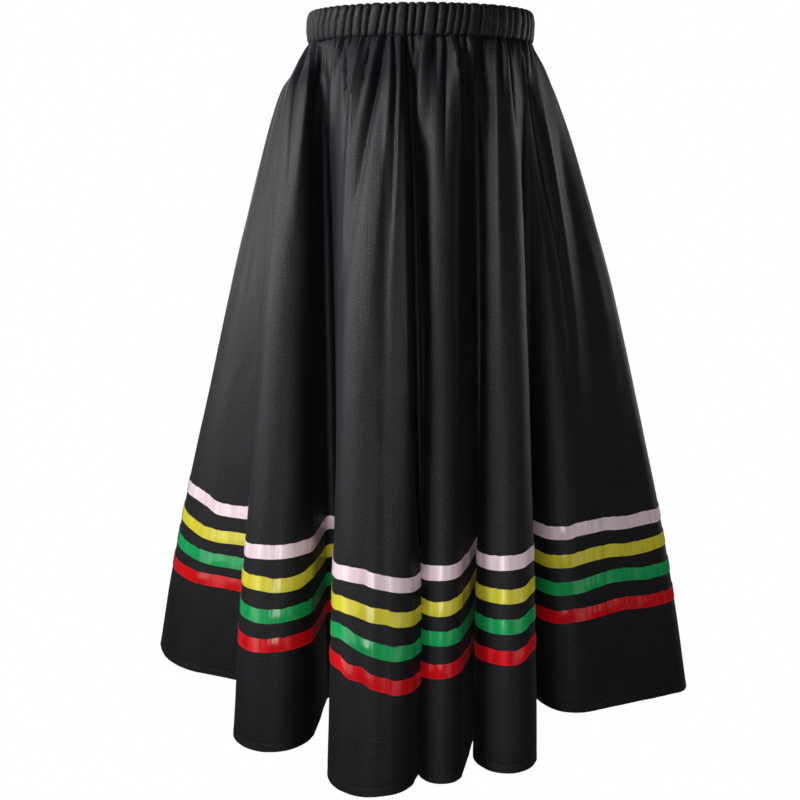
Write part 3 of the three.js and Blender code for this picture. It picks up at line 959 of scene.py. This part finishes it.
@dataclass(frozen=True)
class ThreadFinish:
    """Spun polyester sewing thread: matt, with a little fuzz."""

    name: str
    colour: str
    roughness: float = 0.62
    twist: float = 2600.0

    def material(self) -> bpy.types.Material:
        """Builds the material.

        Returns:
            The material.
        """
        paint = Paint(self.name)
        place = add_node(paint.tree, "ShaderNodeTexCoord").outputs["Object"]
        twist = paint.noise(place, self.twist, detail=1.0)
        shades = add_node(paint.tree, "ShaderNodeHueSaturation", {"Color": linear(self.colour)},
                          {"Value": paint.ranged(twist, 0.75, 1.2)})
        paint.feed("Base Color", shades.outputs["Color"])
        paint.bumps((twist, 0.4, 0.0001))
        paint.even({"Roughness": self.roughness, "Sheen Weight": 0.3})
        return paint.material


def put_in_scene(name: str, data: bpy.types.ID) -> bpy.types.Object:
    """Makes an object of a mesh, a lamp or a camera, and puts it in the scene.

    Args:
        name: The object's name.
        data: What it is made of.

    Returns:
        The object.
    """
    obj = bpy.data.objects.new(name, data)
    bpy.context.scene.collection.objects.link(obj)
    return obj


@dataclass
class Shell:
    """Points, faces and flat places of a piece's mesh, gathered before it is made, in mm."""

    points: list[Array] = field(default_factory=list)
    flats: dict[str, list[Array]] = field(default_factory=dict)
    faces: list[list[int]] = field(default_factory=list)
    count: int = 0

    def add(self, points: Array, **flats: Array) -> Array:
        """Adds points with their flat places.

        Args:
            points: Any array of points.
            flats: An array of flat places for each map, as long as the points.

        Returns:
            The points' numbers, in the same arrangement.
        """
        numbers = np.arange(points.size // 3).reshape(points.shape[:-1]) + self.count
        self.count += numbers.size
        self.points.append(points.reshape(-1, 3))
        for name, places in flats.items():
            flat = np.broadcast_to(places, points.shape[:-1] + (2,)).reshape(-1, 2)
            self.flats.setdefault(name, []).append(flat)
        return numbers

    def grid(self, numbers: Array, closed: bool = False, flip: bool = False) -> None:
        """Adds the faces between rows and columns of points.

        Args:
            numbers: Points by row and column.
            closed: Whether the last column joins the first.
            flip: Whether the faces look the other way.
        """
        across = np.roll(numbers, -1, 1) if closed else numbers[:, 1:]
        first = numbers if closed else numbers[:, :-1]
        quads = np.stack([first[:-1], first[1:], across[1:], across[:-1]], -1).reshape(-1, 4)
        self.faces.extend((quads[:, ::-1] if flip else quads).tolist())

    def rim(self, fine: Array, coarse: Array, flip: bool = False) -> None:
        """Joins an edge to one that has a point for every second point of it.

        Args:
            fine: Points of the finer edge.
            coarse: Points of the coarser edge.
            flip: Whether the faces look the other way.
        """
        for i in range(len(coarse) - 1):
            face = [fine[2 * i], fine[2 * i + 1], fine[2 * i + 2], coarse[i + 1], coarse[i]]
            self.faces.append([int(n) for n in (face[::-1] if flip else face)])

    def make(self, name: str, material: bpy.types.Material) -> bpy.types.Object:
        """Makes the piece's object, in metres.

        Args:
            name: The piece's name.
            material: Its finish.

        Returns:
            The object, in the scene.
        """
        mesh = bpy.data.meshes.new(name)
        mesh.from_pydata((np.concatenate(self.points) * MM).tolist(), [], self.faces)
        corners = np.empty(len(mesh.loops), np.int32)
        mesh.loops.foreach_get("vertex_index", corners)
        for label, places in self.flats.items():
            layer = mesh.uv_layers.new(name=label)
            layer.data.foreach_set("uv", (np.concatenate(places)[corners] * MM).ravel())
        mesh.polygons.foreach_set("use_smooth", np.ones(len(mesh.polygons), bool))
        mesh.set_sharp_from_angle(angle=SHARP_FROM)
        mesh.materials.append(material)
        mesh.validate()
        return put_in_scene(name, mesh)


def graded(start: float, end: float, count: int, step_at: Callable[[Array], Array]) -> Array:
    """Places from a start to an end, closer together where the steps are to be small.

    Args:
        start: First place.
        end: Last place.
        count: How many steps.
        step_at: The step that each place would like.

    Returns:
        count + 1 places.
    """
    places = np.linspace(start, end, GRADE_SAMPLES)
    pace = 1 / step_at((places[1:] + places[:-1]) / 2)
    spent = np.concatenate([[0.0], np.cumsum(pace)])
    return np.interp(np.linspace(0, spent[-1], count + 1), spent, places)


def widest_dip(out: Array, reach: int) -> Array:
    """The lowest value round each point of a grid.

    Args:
        out: Values by row and column.
        reach: How many points off it looks.

    Returns:
        Lowest values, by row and column.
    """
    padded = np.pad(out, reach, mode="edge")
    rows, columns = out.shape
    span = range(2 * reach + 1)
    low = np.minimum.reduce([padded[i:i + rows, :] for i in span])
    return np.minimum.reduce([low[:, j:j + columns] for j in span])


@dataclass(frozen=True)
class FlatCut:
    """The cut of each panel: half of a flared circle, a sector of a ring, in mm."""

    waist_radius: float = 304.0
    hem_radius: float = 1114.0
    sector: float = 99.0

    @property
    def size(self) -> tuple[float, float]:
        """Width and length of the sector's own rectangle.

        Returns:
            Both, in m.
        """
        half = math.radians(self.sector / 2)
        length = self.hem_radius - self.waist_radius * math.cos(half)
        return 2 * self.hem_radius * math.sin(half) * MM, length * MM

    @property
    def area(self) -> float:
        """Flat area, in square metres."""
        turn = math.radians(self.sector)
        return turn * (self.hem_radius ** 2 - self.waist_radius ** 2) / 2 * MM * MM

    def place(self, across: Array, down: Array) -> Array:
        """Where a place of the panel lies on the flat cut.

        Args:
            across: Share of the panel's width.
            down: Share of the way down.

        Returns:
            Flat places, in mm.
        """
        radius = self.waist_radius + (self.hem_radius - self.waist_radius) * down
        turn = math.radians(self.sector) * (across - 0.5)
        return np.stack([radius * np.sin(turn), -radius * np.cos(turn)], -1)


# The step wanted down the cloth, in mm, by share of the way: fine at gathers, ribbons and hem.
ROW_STEPS = ([0, 0.08, 0.1, 0.25, 0.32, 0.66, 0.69, 0.98, 0.985, 1],
             [1.9, 1.9, 4, 4.5, 9.5, 9.5, 6.5, 6.5, 2.0, 1.6])


@dataclass(frozen=True)
class Panel:
    """One half of the skirt, side seam to side seam, in mm."""

    cloth: Cloth
    name: str
    start: float
    end: float
    cut: FlatCut
    columns: int = 560
    rows: int = 140
    wall: float = 0.8
    dip_reach: int = 2
    seam_lap: float = 0.25
    hang_length: float = 810.0

    def build(self, material: bpy.types.Material) -> bpy.types.Object:
        """Builds the panel, outside, inside and all its edges.

        Args:
            material: Its finish.

        Returns:
            The panel's object.
        """
        start, end = self.start - self.seam_lap, self.end + self.seam_lap
        along = graded(start, end, self.columns, self.cloth.form.belt.step_at)
        down = graded(0.0, 1.0, self.rows, lambda share: np.interp(share, *ROW_STEPS))
        base, push, out = self.cloth.relief(along, down[:, None])
        across = (along - start) / (end - start)
        flat = self.cut.place(*np.broadcast_arrays(across[None, :], down[:, None]))
        hang = np.stack(np.broadcast_arrays(along[None, :], down[:, None] * self.hang_length), -1)
        shell = Shell()
        outside = shell.add(base + push * out[..., None], cut=flat, hang=hang)
        lining = (widest_dip(out, self.dip_reach) - self.wall)[..., None]
        inside = shell.add((base + push * lining)[::2, ::2], cut=flat[::2, ::2], hang=hang[::2, ::2])
        shell.grid(outside)
        shell.grid(inside, flip=True)
        shell.rim(outside[0], inside[0])
        shell.rim(outside[-1], inside[-1], flip=True)
        shell.rim(outside[:, 0], inside[:, 0], flip=True)
        shell.rim(outside[:, -1], inside[:, -1])
        return shell.make(self.name, material)


# How far out the band's face lies, in mm, and how deep its gathers are, from its foot to its top.
BAND_OUT = ([-1, -0.9, -0.5, 0, 0.5, 0.8, 0.93, 1], [-1.4, 0.3, 1.4, 1.8, 1.1, -0.3, -1.6, -3.2])
BAND_RIPPLE = ([-1, -0.85, 0, 0.8, 1], [1.0, 1.0, 0.95, 1.0, 0.8])


@dataclass(frozen=True)
class Waistband:
    """The gathered casing with the elastic in it, one closed ring, in mm."""

    form: SkirtForm
    gathers: Gathers
    columns: int = 1300
    outside_points: int = 22
    inside_points: int = 8
    wall: float = 3.2
    top_lean: float = 2.6
    scallop: float = 0.9
    scallop_from: float = 0.8
    droop: float = 1.1
    droop_from: float = 0.7
    crest_height: float = 2.4
    slub: float = 0.35
    round_length: float = 730.0
    row_length: float = 1.9

    def section(self) -> Array:
        """The section, down its outside and up its inside.

        Returns:
            For each point, its share of half the height, how far out it is, and its ripple.
        """
        ups = np.cos(np.linspace(0, math.pi, self.outside_points))
        ups = np.sign(ups) * np.abs(ups) ** 0.8
        outs = SmoothCurve(*BAND_OUT)(ups)
        ripples = np.interp(ups, *BAND_RIPPLE)
        outside = np.stack([ups, outs, ripples], -1)
        rises = np.linspace(-1, 1, self.inside_points)
        back = -self.wall - self.top_lean * np.maximum(0, rises) ** 3
        inside = np.stack([rises, back, np.zeros_like(rises)], -1)
        return np.concatenate([outside, inside])

    def build(self, material: bpy.types.Material) -> bpy.types.Object:
        """Builds the ring.

        Args:
            material: Its finish.

        Returns:
            The band's object.
        """
        angle = np.linspace(-FULL_TURN / 2, FULL_TURN / 2, self.columns + 1)[:-1]
        places = (angle / FULL_TURN + 0.5) * self.round_length
        centre = self.form.waist_point(angle)
        out_way = self.form.waist_normal(angle)
        shell = Shell()
        loops = []
        run = 0.0
        crest = self.gathers.out(angle, 0.5, np.ones_like) / self.crest_height
        for up, out, ripple in self.section():
            relief = self.gathers.out(angle, float(up), lambda reach: np.full_like(reach, ripple))
            soft = self.slub * wave_noise(places + 30 * up, self.round_length, 9, 11)
            soft = soft * ripple * (1 - up * up)
            plan = centre + out_way * (out + relief + soft)[:, None]
            near_top = max(0.0, (up - self.scallop_from) / (1 - self.scallop_from))
            near_foot = max(0.0, (-up - self.droop_from) / (1 - self.droop_from))
            rise = self.scallop * np.clip(crest, -1.2, 0.4) * near_top
            drop = self.droop * np.clip(crest, -0.5, 0.6) * near_foot
            height = self.form.band_lift(up) + up * self.form.band_height / 2 - drop + rise
            loop = np.concatenate([plan, height[:, None]], 1)
            run += self.row_length
            flat = np.stack([places, np.full_like(places, run)], -1)
            loops.append(shell.add(loop, cut=flat, hang=flat))
        shell.grid(np.array(loops + loops[:1]), closed=True)
        return shell.make("waistband_cloth", material)


class Drift(NamedTuple):
    """How far the ribbons lie above their even line, in mm, at a place along the hem."""

    at: float
    pink: float
    yellow: float
    green: float
    red: float


DRIFTS: tuple[Drift, ...] = tuple(Drift(*row) for row in (
    (120, 0, 0, 0, 0), (200, 4, -2, -1, 3), (226, 1, -5, -1.5, 3.5), (252, -6, -6, -2, 5),
    (290, -4.5, -3, -0.5, 7), (370, 0, 0, 0, 0), (465, -2, 0, 1, 0.5), (500, 2.5, 2, 0.5, 2),
    (525, 4, 1, 2.2, 4.5), (552, 4.5, 1.5, 3.5, 5), (578, 2.5, 6, 3, 4), (650, 0, 0, 0, 0),
    (780, 2, 2, 3, 5), (845, 5, 6, 8, 14), (866, 5.5, 7, 12.5, 17.5), (880, 8, 9.5, 15.5, 18),
    (896, 9, 9.5, 12, 12), (909, 9, 7.5, 7.5, 11.5), (920, 5.5, 4, 3.5, 5), (938, 1, 1, -2, -1),
    (954, -2, -3, -4.5, -5.5), (972, -4, -4.5, -5, -6), (1000, -6, -6, -6, -7), (1060, -2, -2, -2, -2),
    (1150, 1.5, 0, 2, 1.5), (1165, 3.3, 0.5, 4, 3.5), (1182, 4, 1.5, 4.5, 5.3),
    (1200, 4.5, 4.5, 5.5, 7), (1260, 0, 0, 0, 0), (1340, 2, 2, 3, 3), (1378, 5, 4, 6.5, 8),
    (1400, 6, 5.5, 7.2, 9.5), (1430, 7.3, 6.3, 8, 8.5), (1443, 7.8, 7.2, 10, 12),
    (1456, 10.5, 12, 15, 18), (1500, 7, 7, 9, 11), (1600, -4, -4, -3, -3), (1672, -6.5, -6, -4, -3.5),
    (1690, -5.5, -4.3, -3, -2.5), (1704, -4.5, -3.3, -1.3, 0), (1714, -1.8, -1.5, -1, 0),
    (1740, -2.2, -0.8, 1.2, 0), (1760, -2.6, -1.3, 2.4, 0.5), (1780, -5.5, -3.7, 1, 0.3),
    (1803, -7.5, -6.7, -2, -3), (1822, -7.5, -7, -4.8, -5.3), (1845, -7.5, -5, -4.5, -5.5),
    (1922, 0, 0, 0, 0), (2100, 2, 3, 1, 4), (2210, -3, -2, -4, -5), (2400, 3, 5, 6, 8),
    (2560, -2, -4, -3, -6), (2720, 4, 3, 7, 6), (2890, -3, -1, -4, -3), (3050, 5, 6, 4, 9),
    (3230, -2, -4, -2, -5), (3420, 3, 2, 5, 6), (3620, -3, -2, -1, -4), (3760, 0, 1, 0, 2),
))


class RibbonKind(NamedTuple):
    """A ribbon: its low edge is in mm above the hem, its length in m, and its darker tone is painted
    shade.
    """

    colour: str
    slot: Slot
    low_edge: float
    length: float
    bright: str
    painted_shade: str
    seed: int


# Each ribbon's bright tone is its colour, and its darker tone is painted shade.
RIBBONS: tuple[RibbonKind, ...] = tuple(RibbonKind(*row) for row in (
    ("red", Slot.RED, 110.0, 3.66, "#dc1018", "#b40a14", 100),
    ("green", Slot.GREEN, 145.0, 3.54, "#17a75a", "#0d8a4a", 200),
    ("yellow", Slot.YELLOW, 180.0, 3.42, "#dcd23c", "#c4b82c", 300),
    ("pink", Slot.PINK, 215.0, 3.30, "#f0dce2", "#d8bcc6", 400),
))


@dataclass(frozen=True)
class Ribbon:
    """One satin ribbon, sewn down along both edges, in mm."""

    cloth: Cloth
    kind: RibbonKind
    width: float = 16.0
    thickness: float = 0.35
    standoff: float = 0.35
    columns: int = 1400
    rows: int = 6
    wander: float = 0.5
    edge_jag: float = 0.55
    lower_jag: float = 0.15
    swell: float = 0.7
    cockle: float = 0.22
    take_up: float = 0.93
    stitch_inset: float = 1.3

    def places(self) -> Array:
        """Places round the hem, without the last, which is the first again."""
        belt = self.cloth.form.belt
        return graded(0, belt.length, self.columns, belt.step_at)[:-1]

    def downs(self, along: Array, shares: Array) -> Array:
        """Shares of the way down of lines that run along the ribbon.

        Args:
            along: Places round the hem.
            shares: Where on its width, from 0 at the upper edge to 1 at the lower.

        Returns:
            Shares, by line and place.
        """
        form = self.cloth.form
        lap = form.belt.length
        top = form.plain_point(along, form.zone_top)
        bottom = form.plain_point(along, form.zone_bottom)
        run = np.linalg.norm(top - bottom, axis=1)
        margin = np.linalg.norm(bottom - form.plain_point(along, 1.0), axis=1)
        shift = form.sag(along) + self.wander * wave_noise(along, lap, 60, self.kind.seed + 20)
        ats = [row.at for row in DRIFTS]
        ups = [getattr(row, self.kind.colour) for row in DRIFTS]
        drift = SmoothCurve([ats[-1] - lap] + ats + [ats[0] + lap], [ups[-1]] + ups + [ups[0]])
        shift = shift + drift(along)
        jag = wave_noise(along, lap, 5, self.kind.seed)
        jag = self.edge_jag * (jag + 0.5 * wave_noise(along, lap, 11, self.kind.seed + 9))
        upper = self.kind.low_edge + self.width + shift + jag
        lower = self.kind.low_edge + shift + self.lower_jag * jag
        edge = upper[None, :] * (1 - shares[:, None]) + lower[None, :] * shares[:, None]
        share = (edge - margin) / run
        return form.zone_bottom + (form.zone_top - form.zone_bottom) * share

    def lift(self, along: Array, shares: Array) -> Array:
        """How far the ribbon's back stands off the cloth.

        Args:
            along: Places round the hem.
            shares: Where on its width.

        Returns:
            Millimetres, by line and place.
        """
        lap = self.cloth.form.belt.length
        slack = np.maximum(0, wave_noise(along, lap, 26, self.kind.seed + 40)) * self.swell
        fine = self.cockle * wave_noise(along, lap, 6, self.kind.seed + 50)
        middle = np.sin(math.pi * shares)[:, None]
        upper = np.exp(-shares / 0.15)[:, None]
        return self.standoff + slack[None, :] * middle + np.abs(fine)[None, :] * (middle * 0.6 + upper)

    def surface(self, along: Array, shares: Array, extra: float) -> Array:
        """Points on the ribbon, by line and place.

        Args:
            along: Places round the hem.
            shares: Where on its width.
            extra: How far off its back.

        Returns:
            Points.
        """
        downs = self.downs(along, shares)
        base, push, out = self.cloth.relief(along, downs)
        return base + push * (out + self.lift(along, shares) + extra)[..., None]

    def build(self, material: bpy.types.Material) -> bpy.types.Object:
        """Builds the ribbon as a thin closed ring.

        Args:
            material: Its finish.

        Returns:
            The ribbon's object.
        """
        along = self.places()
        shares = np.linspace(0, 1, self.rows)
        face = self.surface(along, shares, self.thickness)
        back = self.surface(along, shares, 0.0)[::-1][::self.rows - 1]
        shell = Shell()
        flat = np.broadcast_arrays(along[None, :] * self.take_up, shares[:, None] * self.width)
        flat = np.stack(flat, -1)
        outside = shell.add(face, cloth=flat)
        inside = shell.add(back, cloth=flat[::-1][::self.rows - 1])
        shell.grid(np.concatenate([outside, inside, outside[:1]]), closed=True)
        return shell.make(self.kind.colour + "_ribbon", material)

    def stitch_lines(self) -> list[Array]:
        """The lines of stitches along both edges, just off the ribbon's face.

        Returns:
            Points of each line, in mm.
        """
        along = self.places()
        inset = self.stitch_inset / self.width
        lines = self.surface(along, np.array([inset, 0.5, 1 - inset]), self.thickness + STITCH_OFF)
        return [lines[0], lines[2]]


@dataclass(frozen=True)
class Stitching:
    """Machine stitches along lines, made by Geometry Nodes, in mm."""

    name: str
    length: float = 2.2
    thickness: float = 0.32
    pitch: float = 3.0

    def tree(self, material: bpy.types.Material) -> bpy.types.NodeTree:
        """The tree that lays a stitch at each pitch along every line.

        Args:
            material: The thread's finish.

        Returns:
            The node tree.
        """
        tree = bpy.data.node_groups.new(self.name + "_tree", "GeometryNodeTree")
        face = tree.interface
        face.new_socket("Lines", in_out="INPUT", socket_type="NodeSocketGeometry")
        for label in ("Stitch length", "Thread thickness", "Stitch pitch"):
            face.new_socket(label, in_out="INPUT", socket_type="NodeSocketFloat")
        face.new_socket("Stitches", in_out="OUTPUT", socket_type="NodeSocketGeometry")
        given = add_node(tree, "NodeGroupInput").outputs
        curves = add_node(tree, "GeometryNodeMeshToCurve", links={"Mesh": given["Lines"]})
        steps = add_node(tree, "GeometryNodeResampleCurve", {"mode": "LENGTH"},
                         {"Curve": curves.outputs["Curve"], "Length": given["Stitch pitch"]})
        tangent = add_node(tree, "GeometryNodeInputTangent")
        turn = add_node(tree, "FunctionNodeAlignRotationToVector", {"axis": "X"},
                        {"Vector": tangent.outputs["Tangent"]})
        stitch = add_node(tree, "GeometryNodeMeshUVSphere", {"Segments": 4, "Rings": 2, "Radius": 0.5})
        size = add_node(tree, "ShaderNodeCombineXYZ", links={
            "X": given["Stitch length"], "Y": given["Thread thickness"], "Z": given["Thread thickness"]})
        laid = add_node(tree, "GeometryNodeInstanceOnPoints", links={
            "Points": steps.outputs["Curve"], "Instance": stitch.outputs["Mesh"],
            "Rotation": turn.outputs["Rotation"], "Scale": size.outputs["Vector"]})
        real = add_node(tree, "GeometryNodeRealizeInstances",
                        links={"Geometry": laid.outputs["Instances"]})
        dressed = add_node(tree, "GeometryNodeSetMaterial", {"Material": material},
                           {"Geometry": real.outputs["Geometry"]})
        add_node(tree, "NodeGroupOutput", links={"Stitches": dressed.outputs["Geometry"]})
        return tree

    def build(self, lines: list[Array], material: bpy.types.Material) -> bpy.types.Object:
        """Sews along lines that meet themselves.

        Args:
            lines: Points of each line, in mm.
            material: The thread's finish.

        Returns:
            The stitches, as one plain mesh.
        """
        mesh = bpy.data.meshes.new(self.name + "_lines")
        edges, first = [], 0
        for line in lines:
            numbers = list(range(first, first + len(line)))
            edges += list(zip(numbers, numbers[1:] + numbers[:1]))
            first += len(line)
        mesh.from_pydata((np.concatenate(lines) * MM).tolist(), edges, [])
        carrier = put_in_scene(self.name + "_carrier", mesh)
        tree = self.tree(material)
        modifier = carrier.modifiers.new("stitches", "NODES")
        modifier.node_group = tree
        sizes = {"Stitch length": self.length, "Thread thickness": self.thickness,
                 "Stitch pitch": self.pitch}
        for item in tree.interface.items_tree:
            if item.name in sizes and item.in_out == "INPUT":
                modifier[item.identifier] = sizes[item.name] * MM
        graph = bpy.context.evaluated_depsgraph_get()
        sewn = bpy.data.meshes.new_from_object(carrier.evaluated_get(graph))
        carrier.modifiers.remove(modifier)
        bpy.data.objects.remove(carrier)
        sewn.name = self.name
        if not sewn.materials:
            sewn.materials.append(material)
        return put_in_scene(self.name, sewn)


class SoftBox(NamedTuple):
    """A soft box: degrees from the front and above level, m away and wide, degrees of beam, watts.

    aim is the height of what it lights, in m.
    """

    name: str
    azimuth: float
    elevation: float
    distance: float
    size: float
    spread: float
    power: float
    aim: float


LAMPS: tuple[SoftBox, ...] = tuple(SoftBox(*row) for row in (
    ("left_soft", -62, 4, 1.8, 1, 180, 7, -0.6), ("front_soft", -6, 2, 1.9, 0.6, 180, 11.5, -0.45),
    ("right_soft", 38, 4, 1.8, 1, 180, 3, -0.6), ("left_high", -62, 27, 1.4, 0.45, 60, 3.1, -0.15),
    ("side_high", -95, 15, 1.4, 0.5, 55, 1.2, -0.4), ("back_left", -150, 20, 1.9, 1.2, 180, 9, -0.4),
    ("back_right", 116, 12, 1.9, 1.2, 180, 13, -0.5),
    ("inside_glow", 0, -89, 0.7, 0.15, 40, 0.35, -0.34),
))


@dataclass(frozen=True)
class Studio:
    """A plain pale floor and backdrop, soft lights and the camera, in metres."""

    camera_at: tuple[float, float, float] = (-0.024, -1.294, -0.137)
    pitch_down: float = 0.235
    lens: float = 46.94
    dome_radius: float = 14.0
    floor_radius: float = 12.0
    floor_height: float = -1.05
    white: float = 1.0
    ambient: float = 0.02
    aim_front: float = -0.06

    def camera(self) -> None:
        """Puts the camera where the photograph's was."""
        data = bpy.data.cameras.new("camera")
        data.lens = self.lens
        data.sensor_width = 36.0
        data.clip_end = 60.0
        obj = put_in_scene("camera", data)
        obj.location = self.camera_at
        obj.rotation_euler = (math.pi / 2 - self.pitch_down, 0, 0)
        bpy.context.scene.camera = obj

    def glow(self, name: str) -> bpy.types.Material:
        """A plain bright finish for the floor and the backdrop.

        Args:
            name: The finish's name.

        Returns:
            The material.
        """
        material = bpy.data.materials.new(name)
        material.use_nodes = True
        tree = material.node_tree
        tree.nodes.clear()
        light = add_node(tree, "ShaderNodeEmission", {"Color": (1, 1, 1, 1), "Strength": self.white})
        add_node(tree, "ShaderNodeOutputMaterial", links={"Surface": light.outputs["Emission"]})
        return material

    def backdrop(self) -> None:
        """A dome round everything and a floor, which the skirt doesn't take its light from."""
        bpy.ops.mesh.primitive_uv_sphere_add(segments=48, ring_count=24, radius=self.dome_radius)
        dome = bpy.context.object
        dome.name = "backdrop"
        dome.data.materials.append(self.glow("backdrop_white"))
        bpy.ops.mesh.primitive_circle_add(vertices=96, radius=self.floor_radius, fill_type="NGON",
                                          location=(0, 0, self.floor_height))
        floor = bpy.context.object
        floor.name = "floor"
        floor.data.materials.append(self.glow("floor_white"))
        for obj in (dome, floor):
            obj.visible_diffuse = False
            obj.visible_glossy = False
            obj.visible_shadow = False
            obj.visible_transmission = False

    def hang(self, lamp: SoftBox) -> None:
        """Hangs a soft box.

        Args:
            lamp: Where it is, and how large, narrow and bright.
        """
        data = bpy.data.lights.new(lamp.name, "AREA")
        data.shape = "SQUARE"
        data.size = lamp.size
        data.spread = math.radians(lamp.spread)
        data.energy = lamp.power
        obj = put_in_scene(lamp.name, data)
        turn, rise = math.radians(lamp.azimuth), math.radians(lamp.elevation)
        away = (math.sin(turn) * math.cos(rise), -math.cos(turn) * math.cos(rise), math.sin(rise))
        aim = (0.0, self.aim_front, lamp.aim)
        obj.location = [middle + lamp.distance * part for middle, part in zip(aim, away)]
        obj.rotation_euler = (math.pi / 2 - rise, 0, turn)

    def build(self) -> None:
        """Builds the studio."""
        world = bpy.data.worlds.new("studio_air")
        bpy.context.scene.world = world
        world.use_nodes = True
        air = world.node_tree.nodes["Background"].inputs
        air["Color"].default_value = (1, 1, 1, 1)
        air["Strength"].default_value = self.ambient
        self.camera()
        self.backdrop()
        for lamp in LAMPS:
            self.hang(lamp)
        bpy.context.scene.view_settings.view_transform = "Standard"


def place_piece(obj: bpy.types.Object, nodes: tuple[str, ...] = ()) -> bpy.types.Object:
    """Puts a piece on the skirt's body, under its slot, in place of its solids.

    Args:
        obj: The piece.
        nodes: The solids that it stands for.

    Returns:
        The piece.
    """
    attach(obj, "root")
    if nodes:
        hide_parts(*nodes)
    obj.data.calc_loop_triangles()
    log.info("%s: %d triangles", obj.name, len(obj.data.loop_triangles))
    return obj


def main() -> None:
    """Builds the skirt, piece by piece, and its studio."""
    logging.basicConfig(level=logging.INFO, format="%(message)s")
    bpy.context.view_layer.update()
    form = SkirtForm()
    gathers = Gathers(form)
    cloth = Cloth(form, gathers)
    sateen = SateenFinish().material()
    half = form.belt.length / 2

    band = place_piece(Waistband(form, gathers).build(sateen), ("waistband",))
    cut = FlatCut()
    for name, node, start, end in (("front_cloth", "front_panel", 0.0, half),
                                   ("back_cloth", "back_panel", half, form.belt.length)):
        panel = place_piece(Panel(cloth, name, start, end, cut).build(sateen), (node,))

    for kind in RIBBONS:
        ribbon = Ribbon(cloth, kind)
        satin = SatinFinish(kind.colour + "_polyester_satin", kind.bright, kind.painted_shade).material()
        piece = place_piece(ribbon.build(satin), ("ribbon_" + kind.colour,))
        thread = ThreadFinish(kind.colour + "_thread_spun", kind.bright).material()
        place_piece(Stitching(kind.colour + "_stitches").build(ribbon.stitch_lines(), thread))

    black_thread = ThreadFinish("black_thread_spun", "#1c1c20").material()
    hem_line = cloth.line_round(HEM_STITCH_HEIGHT, STITCH_OFF)
    place_piece(Stitching("hem_stitches").build([hem_line], black_thread))

    Studio().build()


if __name__ == "__main__":
    main()
